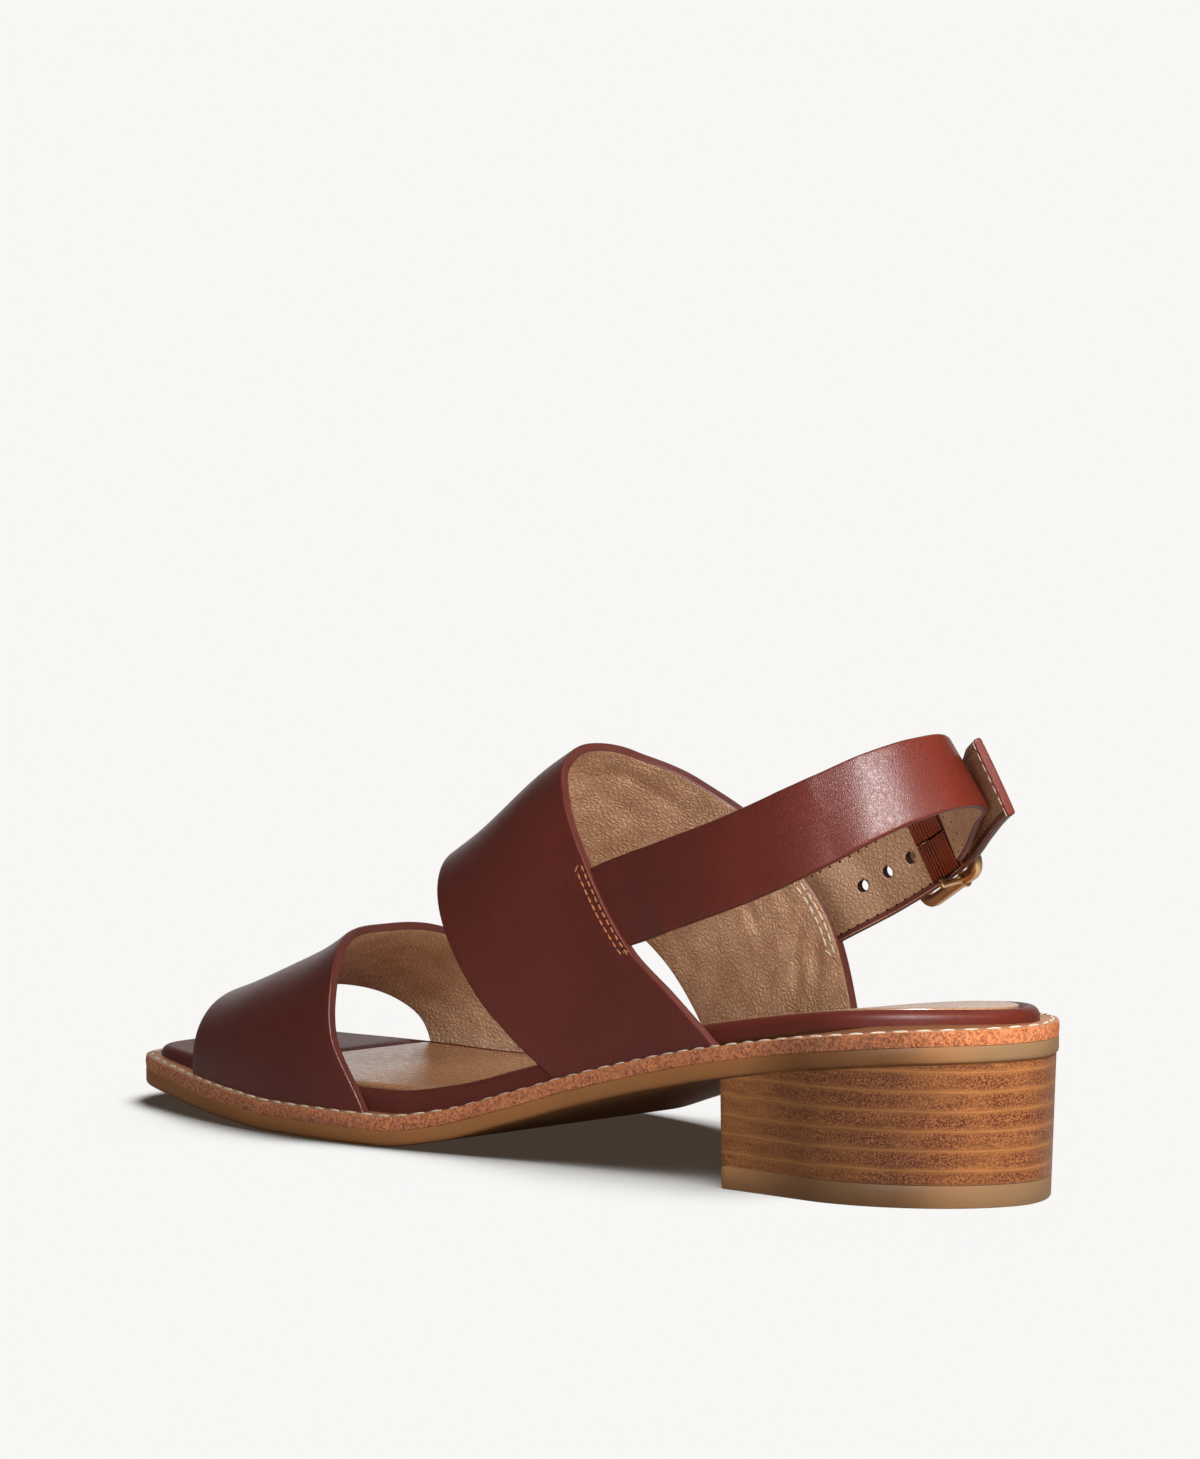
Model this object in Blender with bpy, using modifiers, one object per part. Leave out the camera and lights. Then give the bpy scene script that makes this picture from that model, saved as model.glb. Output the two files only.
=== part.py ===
"""Right dress sandal on a stacked block heel, with two bands, a heel sling and a buckled strap.

Sizes are in millimetres until a mesh is made, and objects are in metres. +X points to the toe,
+Y to the inner side of the foot, +Z up. The origin is on the floor under the middle of the shoe.
"""
import math
from collections import namedtuple

import bmesh
import bpy
import numpy as np
from mathutils import Matrix, Vector

# Driving sizes
MM = 0.001
GAP = 0.3
LENGTH = 245.0
OUTSOLE_THICK = 3.05
WELT_THICK = 3.1
SOCK_THICK = 0.8
SOCK_FRONT = 205.0
SOCK_INSET = 4.4
SEAT_DEPTH = 0.95
SEAT_RUN_ON = 5.0
SOLE_CHAMFER = 0.4
SOCK_CHAMFER = 0.2
RIM_ROUND = 2.0
RIM_WIDTH = 3.4
SEAT_TIP = 0.040
SEAT_TIP_FADE = (30.0, 95.0)
HEEL_BREAST = 59.5
HEEL_SET_IN = 1.2
HEEL_INSET = 0.5
HEEL_TAPER = 0.985
TOP_PIECE_THICK = 4.5
WALL = 2.0
BAND_INSET = 1.7
SLING_WIDTH, SLING_END_WIDTH = 18.6, 16.2
SLING_TAPER = (72.0, 104.0)
TAB_WIDTH = 16.5
STRAP_THICK = 1.7

# Steps of the meshes: sole layers, sock, heel, bands over and along, straps along and across
SOLE_STEPS, SOCK_STEPS, HEEL_STEPS = 44, 36, 22
BAND_OVER, BAND_ALONG = 41, 9
STRAP_STEPS, STRAP_ACROSS = 52, 4
SHARP_EDGE = 35.0
END_TRIM = 0.02

# Rounding of the outline: length of the round end and its superellipse power
HEEL_ROUND, HEEL_POWER = 36.0, 1.8
TOE_ROUND, TOE_POWER = 20.0, 6.0

# Sole sections from heel to toe: half widths to the inner and outer side, height of the underside,
# height of the insole's rim over the welt, and width of the welt's bare ledge
Section = namedtuple("Section", "along inner outer under rim ledge")
SOLE = (
    Section(0, 28.4, 27.4, 29.0, 2.7, 3.9),
    Section(12, 28.4, 27.6, 28.5, 2.9, 4.0),
    Section(30, 28.4, 28.2, 26.8, 3.4, 4.0),
    Section(62, 28.2, 29.6, 21.8, 4.0, 4.1),
    Section(80, 27.7, 31.1, 18.0, 4.4, 4.1),
    Section(100, 28.2, 33.2, 12.9, 4.5, 4.1),
    Section(120, 30.4, 36.1, 6.9, 4.6, 4.1),
    Section(136, 33.0, 38.8, 2.3, 4.7, 4.1),
    Section(152, 35.8, 40.6, 0.0, 4.7, 4.1),
    Section(170, 37.2, 41.2, 0.0, 4.6, 4.1),
    Section(184, 36.8, 40.8, 0.0, 4.4, 4.1),
    Section(200, 34.7, 38.9, 0.8, 4.0, 4.1),
    Section(215, 31.2, 35.7, 1.8, 3.4, 4.1),
    Section(230, 26.6, 30.6, 3.0, 2.6, 3.4),
    Section(245, 22.6, 24.6, 4.4, 2.0, 3.0),
)

# Last sections: height of the crest over the floor, its shift to the inner side, fullness of the arch
LastSection = namedtuple("LastSection", "along crest shift fullness")
LAST = (
    LastSection(50, 101.0, 6.0, 2.0),
    LastSection(90, 96.5, 6.0, 2.0),
    LastSection(105, 92.0, 6.0, 2.0),
    LastSection(125, 82.3, 6.0, 2.02),
    LastSection(145, 67.2, 5.6, 2.07),
    LastSection(165, 54.6, 5.0, 2.15),
    LastSection(187, 40.4, 3.2, 2.33),
    LastSection(200, 34.9, 2.5, 2.4),
    LastSection(215, 29.2, 2.0, 2.45),
    LastSection(230, 24.4, 1.5, 2.5),
)

# Edges of the bands at fractions of the way over the foot, from the inner to the outer side
Edge = namedtuple("Edge", "over rear front")
TOE_BAND = (
    Edge(0.0, 156.5, 218.6),
    Edge(0.1, 167.0, 219.2),
    Edge(0.2, 170.8, 220.0),
    Edge(0.3, 175.0, 221.3),
    Edge(0.4, 180.0, 222.3),
    Edge(0.5, 182.5, 222.0),
    Edge(0.65, 182.3, 217.5),
    Edge(0.8, 177.5, 212.8),
    Edge(0.9, 171.0, 209.6),
    Edge(1.0, 160.0, 208.0),
)
INSTEP_BAND = (
    Edge(0.0, 62.2, 107.4),
    Edge(0.05, 74.8, 119.0),
    Edge(0.1, 87.3, 128.0),
    Edge(0.2, 102.0, 139.5),
    Edge(0.3, 112.0, 146.7),
    Edge(0.4, 118.0, 151.5),
    Edge(0.5, 119.6, 154.5),
    Edge(0.6, 116.7, 154.0),
    Edge(0.7, 106.5, 150.0),
    Edge(0.8, 91.0, 141.4),
    Edge(0.9, 77.5, 129.0),
    Edge(1.0, 72.0, 116.5),
)

# Middle lines of the two straps: place on the strap's middle surface and lean of its top inwards
Place = namedtuple("Place", "along side height lean")
SLING = (
    Place(112.0, 24.4, 46.1, 8),
    Place(95.5, 23.4, 53.6, 8),
    Place(75.0, 24.4, 60.2, 7),
    Place(56.0, 24.2, 66.8, 8),
    Place(38.0, 20.5, 75.0, 12),
    Place(29.0, 15.5, 80.1, 19),
    Place(23.5, 9.0, 83.2, 26),
    Place(21.5, 1.5, 84.3, 31),
    Place(24.0, -5.5, 83.2, 31),
    Place(31.0, -12.5, 79.9, 26),
    Place(38.0, -19.0, 75.3, 18),
)
TAB = (
    Place(98.0, -28.6, 43.0, 8),
    Place(84.0, -27.2, 49.8, 8),
    Place(71.0, -27.6, 56.0, 8),
    Place(50.3, -27.7, 67.1, 10),
    Place(41.5, -25.0, 71.8, 12),
    Place(31.5, -18.0, 77.0, 17),
    Place(21.0, -8.5, 81.0, 24),
    Place(11.1, 0.9, 83.5, 25),
    Place(8.2, 4.0, 84.0, 25),
)
BUCKLE_PLACE = 3
SLING_END = 8.2
SLING_END_LEAN = 10

# Buckle: frame, its place ahead of the bar and outside the strap, bar inside the strap, prong
FRAME_LONG, FRAME_HIGH, FRAME_SIDE, FRAME_THICK = 21.6, 21.3, 2.6, 2.0
FRAME_CORNER, OPENING_CORNER = 4.0, 2.1
FRAME_AHEAD = 4.0
FRAME_LIFT = 2.15
BAR_RADIUS = 0.8
BAR_DEPTH = -3.5
LUG_SIZE = 1.5
LUG_OVERHANG = 0.2
PRONG_RADIUS = 0.7
PRONG_LIFT = 2.4
PRONG_BEND = 1.4
RING_WIRE = 0.55

# Holes of the strap, the first one over the prong
HOLE_RADIUS = 1.25
HOLE_PITCH = 6.8
HOLE_COUNT = 4
RING_RADIUS = BAR_RADIUS + GAP + PRONG_RADIUS

# Elastic round the bar
ELASTIC_WALL = 0.8
ELASTIC_HALF_HIGH = 8.2
ELASTIC_REACH = 6.7
ELASTIC_SLOT = 1.1

CENTRE_ALONG = LENGTH / 2
CENTRE_ACROSS = (max(s.inner for s in SOLE) - max(s.outer for s in SOLE)) / 2


def smooth(places, values):
    """Monotone cubic through a short table, flat where two neighbours are equal."""
    x = np.array(places, float)
    y = np.array(values, float)
    step = np.diff(x)
    rise = np.diff(y) / step
    slope = np.empty_like(y)
    slope[0], slope[-1] = rise[0], rise[-1]
    for i in range(1, len(x) - 1):
        if rise[i - 1] * rise[i] <= 0:
            slope[i] = 0.0
        else:
            before, after = 2 * step[i] + step[i - 1], step[i] + 2 * step[i - 1]
            slope[i] = (before + after) / (before / rise[i - 1] + after / rise[i])

    def value(at):
        at = np.clip(np.asarray(at, float), x[0], x[-1])
        i = np.clip(np.searchsorted(x, at, side="right") - 1, 0, len(step) - 1)
        t = (at - x[i]) / step[i]
        start = (1 + 2 * t) * (1 - t) ** 2 * y[i] + t * (1 - t) ** 2 * step[i] * slope[i]
        end = t * t * (3 - 2 * t) * y[i + 1] + t * t * (t - 1) * step[i] * slope[i + 1]
        return start + end

    return value


def column(table, name):
    return smooth([row[0] for row in table], [getattr(row, name) for row in table])


inner_half = column(SOLE, "inner")
outer_half = column(SOLE, "outer")
under = column(SOLE, "under")
rim = column(SOLE, "rim")
ledge = column(SOLE, "ledge")
crest = column(LAST, "crest")
crest_shift = column(LAST, "shift")
fullness = column(LAST, "fullness")


def round_ends(along, inset):
    """Share of the full width left where the outline rounds off at the heel and the toe."""
    heel = np.clip((HEEL_ROUND - along) / (HEEL_ROUND - inset), 0, 1)
    toe = np.clip((along - LENGTH + TOE_ROUND) / (TOE_ROUND - inset), 0, 1)
    return (1 - heel ** HEEL_POWER) ** (1 / HEEL_POWER) * (1 - toe ** TOE_POWER) ** (1 / TOE_POWER)


def sides(along, inset):
    """Inner and outer side of the outline, drawn in by the inset."""
    share = round_ends(along, inset)
    return (inner_half(along) - inset) * share, -(outer_half(along) - inset) * share


def welt_top(along):
    return under(along) + OUTSOLE_THICK + GAP + WELT_THICK


def insole_top(along):
    return welt_top(along) + GAP + rim(along)


def seat_tip(along, side):
    """Rise of the insole to the inner side, at the heel only."""
    return SEAT_TIP * side * np.interp(along, SEAT_TIP_FADE, (1.0, 0.0))


def sling_width(at):
    """Width of the sling, which narrows round the heel to the elastic."""
    return np.interp(at, SLING_TAPER, (SLING_WIDTH, SLING_END_WIDTH))


def last_point(along, over):
    """Outer skin of the bands: an arch over the foot, 0 at the inner welt and 1 at the outer."""
    inner = inner_half(along) - BAND_INSET
    outer = outer_half(along) - BAND_INSET
    base = welt_top(along) + GAP
    power = 2 / fullness(along)
    across = np.cos(np.pi * over)
    up = np.sin(np.pi * over)
    side = (inner - outer) / 2 + (inner + outer) / 2 * np.sign(across) * np.abs(across) ** power
    side = side + crest_shift(along) * up ** 2
    return np.array([along, side, base + (crest(along) - base) * np.abs(up) ** power])


def in_metres(points):
    """From heel-based millimetres to the shoe's own frame in metres."""
    return (np.asarray(points, float) - (CENTRE_ALONG, CENTRE_ACROSS, 0.0)) * MM


def material(name, colour, roughness, metallic=0.0):
    made = bpy.data.materials.new(name)
    made.use_nodes = True
    shader = made.node_tree.nodes["Principled BSDF"]
    shader.inputs["Base Color"].default_value = (*colour, 1.0)
    shader.inputs["Roughness"].default_value = roughness
    shader.inputs["Metallic"].default_value = metallic
    return made


def new_object(name, mesh, look, collection):
    made = bpy.data.objects.new(name, mesh)
    if look:
        mesh.materials.append(look)
    collection.objects.link(made)
    return made


def mesh_from(name, points, faces):
    mesh = bpy.data.meshes.new(name)
    mesh.from_pydata([tuple(p) for p in points], [], faces)
    tidy = bmesh.new()
    tidy.from_mesh(mesh)
    bmesh.ops.recalc_face_normals(tidy, faces=tidy.faces)
    if tidy.calc_volume(signed=True) < 0:
        bmesh.ops.reverse_faces(tidy, faces=tidy.faces)
    tidy.to_mesh(mesh)
    tidy.free()
    mesh.shade_smooth()
    mesh.set_sharp_from_angle(angle=math.radians(SHARP_EDGE))
    return mesh


def loft(name, rings, look, collection):
    """Closed skin over rings of equal length, capped at both ends."""
    rings = np.asarray(rings)
    count, size = rings.shape[:2]
    faces = [tuple(range(size)), tuple(range((count - 1) * size, count * size))]
    for i in range(count - 1):
        for j in range(size):
            k = (j + 1) % size
            faces.append((i * size + j, i * size + k, (i + 1) * size + k, (i + 1) * size + j))
    return new_object(name, mesh_from(name, in_metres(rings.reshape(-1, 3)), faces), look, collection)


def grid_surface(name, grid, look, collection, thick, offset):
    """Open surface over a grid of points in millimetres, thickened into a shell."""
    rows, cols = grid.shape[:2]
    faces = []
    for i in range(rows - 1):
        for j in range(cols - 1):
            faces.append((i * cols + j, (i + 1) * cols + j, (i + 1) * cols + j + 1, i * cols + j + 1))
    mesh = bpy.data.meshes.new(name)
    mesh.from_pydata([tuple(p) for p in in_metres(grid.reshape(-1, 3))], [], faces)
    mesh.shade_smooth()
    made = new_object(name, mesh, look, collection)
    shell = made.modifiers.new("wall", "SOLIDIFY")
    shell.thickness = thick * MM
    shell.offset = offset
    shell.use_even_offset = True
    return made


def boolean(target, tool, operation):
    """Join a tool to the target or cut it away, with the tool kept as a hidden wire."""
    step = target.modifiers.new(tool.name, "BOOLEAN")
    step.operation = operation
    step.solver = "EXACT"
    step.object = tool
    tool.hide_render = True
    tool.display_type = "WIRE"


def stations(start, end, count, both_ends=True):
    """Places along the shoe, close together where the outline rounds off."""
    if both_ends:
        share = (1 - np.cos(math.pi * np.linspace(END_TRIM, 1 - END_TRIM, count))) / 2
    else:
        share = 1 - np.cos(math.pi / 2 * np.linspace(END_TRIM, 1, count))
    return start + (end - start) * share


def slab_ring(along, inset, low, high, chamfer):
    """Cross-section of a flat layer with broken edges."""
    inner, outer = sides(along, inset)
    cut = min(chamfer, (inner - outer) / 3)
    outline = ((inner, low + cut), (inner, high - cut), (inner - cut, high), (outer + cut, high),
               (outer, high - cut), (outer, low + cut), (outer + cut, low), (inner - cut, low))
    return [(along, side, height) for side, height in outline]


def sole_layer(name, look, collection, low, thick):
    """Layer of the sole over the whole outline."""
    rings = []
    for along in stations(0.0, LENGTH, SOLE_STEPS):
        rings.append(slab_ring(along, 0.0, low(along), low(along) + thick, SOLE_CHAMFER))
    return loft(name, rings, look, collection)


def heel_ring(top_along, low, high):
    """Heel section: its foot is set in from the sole's outline and a little narrower."""
    inner, outer = sides(top_along, HEEL_INSET)
    foot = HEEL_SET_IN + top_along * (HEEL_BREAST - HEEL_SET_IN) / HEEL_BREAST
    share_low = low / under(top_along)
    share_high = high / under(top_along)

    def at(share, side):
        return (foot + (top_along - foot) * share, side * (HEEL_TAPER + (1 - HEEL_TAPER) * share))

    corners = ((inner, share_low, low), (inner, share_high, high),
               (outer, share_high, high), (outer, share_low, low))
    return [(*at(share, side), height) for side, share, height in corners]


def heel_piece(name, look, collection, low, high):
    rings = [heel_ring(s, low, high(s)) for s in stations(0.0, HEEL_BREAST, HEEL_STEPS, both_ends=False)]
    return loft(name, rings, look, collection)


def insole_ring(along):
    """Insole section: a rounded rim round a shallow seat for the sock."""
    inner, outer = sides(along, ledge(along))
    low = welt_top(along) + GAP
    high = insole_top(along)
    turn = min(RIM_ROUND, 0.6 * (high - low))
    squeeze = min(1.0, (inner - outer) / (4 * RIM_WIDTH))
    seat = high - SEAT_DEPTH * np.clip(SOCK_FRONT + SEAT_RUN_ON - along, 0, 1) * squeeze
    profile = [(0.0, low), (0.0, high - turn)]
    for angle in np.radians((30, 60, 90)):
        profile.append((turn * (1 - math.cos(angle)), high - turn + turn * math.sin(angle)))
    profile.append((RIM_WIDTH, seat))
    ring = [(inner - inset * squeeze, height) for inset, height in profile]
    ring += [(outer + inset * squeeze, height) for inset, height in reversed(profile)]
    return [(along, side, height + (seat_tip(along, side) if height > low else 0.0)) for side, height in ring]


def sock_ring(along):
    low = insole_top(along) - SEAT_DEPTH + GAP
    ring = slab_ring(along, ledge(along) + SOCK_INSET, low, low + SOCK_THICK, SOCK_CHAMFER)
    return [(along, side, height + seat_tip(along, side)) for along, side, height in ring]


def band(name, look, collection, edges):
    """Band over the foot: the stretch of the last between its rear and front edge."""
    rear, front = column(edges, "rear"), column(edges, "front")
    grid = []
    for over in np.linspace(0, 1, BAND_OVER):
        places = np.linspace(rear(over), front(over), BAND_ALONG)
        grid.append([last_point(along, over) for along in places])
    return grid_surface(name, np.array(grid), look, collection, WALL, -1)


class StrapLine:
    """Middle line of a strap through its places, with the strap's directions at each distance."""

    def __init__(self, places):
        self.points = np.array([p[:3] for p in places], float)
        self.lean = np.array([p.lean for p in places], float)
        self.reach = np.concatenate([[0], np.cumsum(np.linalg.norm(np.diff(self.points, axis=0), axis=1))])
        self.slope = np.gradient(self.points, self.reach, axis=0)

    def point(self, at):
        i = int(np.clip(np.searchsorted(self.reach, at) - 1, 0, len(self.reach) - 2))
        step = self.reach[i + 1] - self.reach[i]
        t = (at - self.reach[i]) / step
        start = (1 + 2 * t) * (1 - t) ** 2 * self.points[i] + t * (1 - t) ** 2 * step * self.slope[i]
        end = t * t * (3 - 2 * t) * self.points[i + 1] + t * t * (t - 1) * step * self.slope[i + 1]
        return start + end

    def directions(self, at, outer_side):
        """Along, up and outward directions of the strap."""
        ahead = self.point(min(at + 0.5, self.reach[-1])) - self.point(max(at - 0.5, 0.0))
        ahead = ahead / np.linalg.norm(ahead)
        out = np.cross(ahead, (0, 0, 1)) * outer_side
        out = out / np.linalg.norm(out)
        upright = np.cross(out, ahead) * outer_side
        lean = math.radians(np.interp(at, self.reach, self.lean))
        up = upright * math.cos(lean) - out * math.sin(lean)
        return ahead, up, np.cross(ahead, up) * outer_side


def strap(name, collection, line, outer_side, width):
    """Flat strap along its middle line."""
    grid = []
    for at in np.linspace(0, line.reach[-1], STRAP_STEPS):
        up = line.directions(at, outer_side)[1]
        half = width(at) / 2
        grid.append([line.point(at) + up * v for v in np.linspace(-half, half, STRAP_ACROSS)])
    return grid_surface(name, np.array(grid), None, collection, STRAP_THICK, 0)


def buckle_frame_matrix(line):
    """Frame of the buckle on the strap: X along the strap to the instep, Y up across it, Z outwards."""
    at = line.reach[BUCKLE_PLACE]
    ahead, up, out = line.directions(at, -1)
    axes = Matrix(np.array([-ahead, up, out]).T.tolist()).to_4x4()
    return Matrix.Translation(Vector(in_metres(line.point(at)))) @ axes


def rounded_rectangle(long, high, corner):
    points = []
    for quarter in range(4):
        sign_x = 1 if quarter in (0, 3) else -1
        sign_y = 1 if quarter in (0, 1) else -1
        for turn in np.linspace(0, 90, 5):
            angle = math.radians(90 * quarter + turn)
            points.append((sign_x * (long / 2 - corner) + corner * math.cos(angle),
                           sign_y * (high / 2 - corner) + corner * math.sin(angle)))
    return points


def plate(name, outlines, half_thick, look, collection):
    """Flat plate from closed outlines in millimetres, later outlines being its openings."""
    curve = bpy.data.curves.new(name, "CURVE")
    curve.dimensions = "2D"
    curve.fill_mode = "BOTH"
    curve.extrude = half_thick * MM
    for outline in outlines:
        spline = curve.splines.new("POLY")
        spline.points.add(len(outline) - 1)
        for point, (x, y) in zip(spline.points, outline):
            point.co = (x * MM, y * MM, 0.0, 1.0)
        spline.use_cyclic_u = True
    return curve_to_mesh(name, curve, look, collection)


def curve_to_mesh(name, curve, look, collection):
    """Closed mesh of a curve, with its caps welded on."""
    holder = bpy.data.objects.new(name + "_curve", curve)
    bpy.context.scene.collection.objects.link(holder)
    mesh = bpy.data.meshes.new_from_object(holder.evaluated_get(bpy.context.evaluated_depsgraph_get()))
    bpy.data.objects.remove(holder)
    tidy = bmesh.new()
    tidy.from_mesh(mesh)
    bmesh.ops.remove_doubles(tidy, verts=tidy.verts, dist=0.00001)
    bmesh.ops.recalc_face_normals(tidy, faces=tidy.faces)
    tidy.to_mesh(mesh)
    tidy.free()
    mesh.name = name
    mesh.materials.clear()
    return new_object(name, mesh, look, collection)


def box_tool(name, size, centre, collection):
    mesh = bpy.data.meshes.new(name)
    shape = bmesh.new()
    bmesh.ops.create_cube(shape, size=1.0)
    bmesh.ops.scale(shape, vec=Vector(size) * MM, verts=shape.verts)
    bmesh.ops.translate(shape, vec=Vector(centre) * MM, verts=shape.verts)
    shape.to_mesh(mesh)
    shape.free()
    return new_object(name, mesh, None, collection)


def rod_tool(name, radius, length, centre, turn, collection):
    mesh = bpy.data.meshes.new(name)
    shape = bmesh.new()
    bmesh.ops.create_cone(shape, cap_ends=True, segments=16, radius1=radius * MM, radius2=radius * MM,
                          depth=length * MM)
    bmesh.ops.transform(shape, matrix=Matrix.Translation(Vector(centre) * MM) @ turn, verts=shape.verts)
    shape.to_mesh(mesh)
    shape.free()
    return new_object(name, mesh, None, collection)


def make_buckle(place, look, parts, cutters):
    """Frame plate with a bar behind its middle, carried inwards on two lugs."""
    opening = (FRAME_LONG - 2 * FRAME_SIDE, FRAME_HIGH - 2 * FRAME_SIDE)
    outlines = [rounded_rectangle(FRAME_LONG, FRAME_HIGH, FRAME_CORNER),
                rounded_rectangle(*opening, OPENING_CORNER)]
    frame = plate("buckle_frame", outlines, FRAME_THICK / 2, look, parts)
    frame.matrix_world = place @ Matrix.Translation((FRAME_AHEAD * MM, 0, FRAME_LIFT * MM))
    reach = FRAME_HIGH / 2 - FRAME_SIDE / 2
    across = Matrix.Rotation(math.radians(90), 4, "X")
    bar = rod_tool("buckle_bar", BAR_RADIUS, 2 * reach, (0, 0, BAR_DEPTH), across, cutters)
    bar.matrix_world = place
    boolean(frame, bar, "UNION")
    bottom = BAR_DEPTH - BAR_RADIUS - LUG_OVERHANG
    for end, sign in (("low", -1), ("high", 1)):
        lug = box_tool("buckle_lug_" + end, (LUG_SIZE, LUG_SIZE, FRAME_LIFT - bottom),
                       (0, sign * reach, (FRAME_LIFT + bottom) / 2), cutters)
        lug.matrix_world = place
        boolean(frame, lug, "UNION")
    return frame


def make_prong(place, look, parts, cutters):
    """Prong: a ring round the bar and a pin up through the strap, laid over the frame's front side."""
    rest = FRAME_LIFT + FRAME_THICK / 2 + GAP + PRONG_RADIUS
    front = FRAME_AHEAD + FRAME_LONG / 2
    behind = front - FRAME_SIDE - PRONG_RADIUS
    route = ((RING_RADIUS, BAR_DEPTH), (RING_RADIUS, STRAP_THICK / 2),
             (RING_RADIUS + 0.3 * PRONG_BEND, PRONG_LIFT - 0.3 * PRONG_BEND),
             (RING_RADIUS + PRONG_BEND, PRONG_LIFT), (behind - PRONG_BEND, PRONG_LIFT + 0.2),
             (behind, rest), (front + GAP, rest))
    curve = bpy.data.curves.new("buckle_prong", "CURVE")
    curve.dimensions = "3D"
    curve.bevel_depth = PRONG_RADIUS * MM
    curve.bevel_resolution = 2
    curve.use_fill_caps = True
    spline = curve.splines.new("POLY")
    spline.points.add(len(route) - 1)
    for point, (along, out) in zip(spline.points, route):
        point.co = (along * MM, 0.0, out * MM, 1.0)
    prong = curve_to_mesh("buckle_prong", curve, look, parts)
    prong.matrix_world = place
    turn = place @ Matrix.Translation((0, 0, BAR_DEPTH * MM)) @ Matrix.Rotation(math.radians(90), 4, "X")
    bpy.ops.mesh.primitive_torus_add(major_segments=20, minor_segments=8, major_radius=RING_RADIUS * MM,
                                     minor_radius=RING_WIRE * MM)
    ring = bpy.context.object
    ring.name = "buckle_prong_ring"
    for owner in list(ring.users_collection):
        owner.objects.unlink(ring)
    cutters.objects.link(ring)
    ring.matrix_world = turn
    boolean(prong, ring, "UNION")
    return prong


def make_elastic(place, look, parts, cutters):
    """Elastic folded round the buckle's bar, with a slot in the fold for the prong's ring."""
    fold = BAR_RADIUS + GAP + ELASTIC_WALL
    end_half = STRAP_THICK / 2
    outline = [(-ELASTIC_REACH, end_half), (-ELASTIC_REACH, -end_half)]
    outline += [(fold * math.cos(a), fold * math.sin(a)) for a in np.radians(np.linspace(-100, 100, 13))]
    eye = [((fold - ELASTIC_WALL) * math.cos(a), (fold - ELASTIC_WALL) * math.sin(a))
           for a in np.radians(np.arange(0, 360, 30))]
    elastic = plate("elastic", [outline, eye], ELASTIC_HALF_HIGH, look, parts)
    upright = Matrix.Rotation(math.radians(90), 4, "X")
    elastic.matrix_world = place @ Matrix.Translation((0, 0, BAR_DEPTH * MM)) @ upright
    ring = RING_RADIUS + RING_WIRE + GAP
    slot = box_tool("elastic_slot", (2 * ring, 2 * ELASTIC_SLOT, 2 * ring), (0, 0, BAR_DEPTH), cutters)
    slot.matrix_world = place
    boolean(elastic, slot, "DIFFERENCE")
    return elastic


for leftover in list(bpy.data.objects):
    bpy.data.objects.remove(leftover)
parts = bpy.data.collections.new("dress_sandal")
cutters = bpy.data.collections.new("cutters")
bpy.context.scene.collection.children.link(parts)
bpy.context.scene.collection.children.link(cutters)

upper_leather = material("upper_leather", (0.20, 0.050, 0.030), 0.38)
insole_leather = material("insole_leather", (0.17, 0.042, 0.026), 0.42)
sock_leather = material("sock_leather", (0.45, 0.29, 0.17), 0.6)
welt_leather = material("welt_leather", (0.40, 0.24, 0.13), 0.7)
gum_rubber = material("gum_rubber", (0.20, 0.13, 0.06), 0.55)
stacked_leather = material("stacked_leather", (0.20, 0.085, 0.035), 0.4)
elastic_web = material("elastic_web", (0.16, 0.035, 0.015), 0.7)
gold_metal = material("gold_metal", (0.72, 0.45, 0.18), 0.25, 1.0)

# Sole: outsole and welt share the outline, and the heel stands under the seat on its rubber foot
sole_layer("outsole", gum_rubber, parts, under, OUTSOLE_THICK)
sole_layer("welt", welt_leather, parts, lambda s: under(s) + OUTSOLE_THICK + GAP, WELT_THICK)
heel_piece("heel_block", stacked_leather, parts, TOP_PIECE_THICK + GAP, lambda s: under(s) - GAP)
heel_piece("heel_top_piece", gum_rubber, parts, 0.0, lambda s: TOP_PIECE_THICK)

# Insole with the sock in its shallow seat
insole_places = stations(ledge(0.0), LENGTH - ledge(LENGTH), SOLE_STEPS)
sock_places = stations(ledge(0.0) + SOCK_INSET, SOCK_FRONT, SOCK_STEPS, both_ends=False)
loft("insole", [insole_ring(s) for s in insole_places], insole_leather, parts)
loft("insole_sock", [sock_ring(s) for s in sock_places], sock_leather, parts)

# Upper: the toe band alone, and the instep band joined with the sling and the buckled strap
band("toe_band", upper_leather, parts, TOE_BAND)
instep = band("instep_and_sling", upper_leather, parts, INSTEP_BAND)
tab_line = StrapLine(TAB)
buckle_place = buckle_frame_matrix(tab_line)
sling_end = buckle_place @ Vector((-SLING_END * MM, 0.0, BAR_DEPTH * MM)) / MM
last_place = Place(sling_end.x + CENTRE_ALONG, sling_end.y + CENTRE_ACROSS, sling_end.z, SLING_END_LEAN)
sling = strap("sling_strap", cutters, StrapLine(SLING + (last_place,)), 1, sling_width)
tab = strap("buckle_tab", cutters, tab_line, -1, lambda at: TAB_WIDTH)
boolean(instep, sling, "UNION")
boolean(instep, tab, "UNION")
for number in range(HOLE_COUNT):
    hole = rod_tool("strap_hole_%d" % (number + 1), HOLE_RADIUS, 4 * STRAP_THICK,
                    (RING_RADIUS + number * HOLE_PITCH, 0, 0), Matrix.Identity(4), cutters)
    hole.matrix_world = buckle_place
    boolean(instep, hole, "DIFFERENCE")

# Fastening
make_elastic(buckle_place, elastic_web, parts, cutters)
make_buckle(buckle_place, gold_metal, parts, cutters)
make_prong(buckle_place, gold_metal, parts, cutters)
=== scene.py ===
import math
from collections import namedtuple

import bmesh
import bpy
import numpy as np
from mathutils import Matrix, Vector


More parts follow.
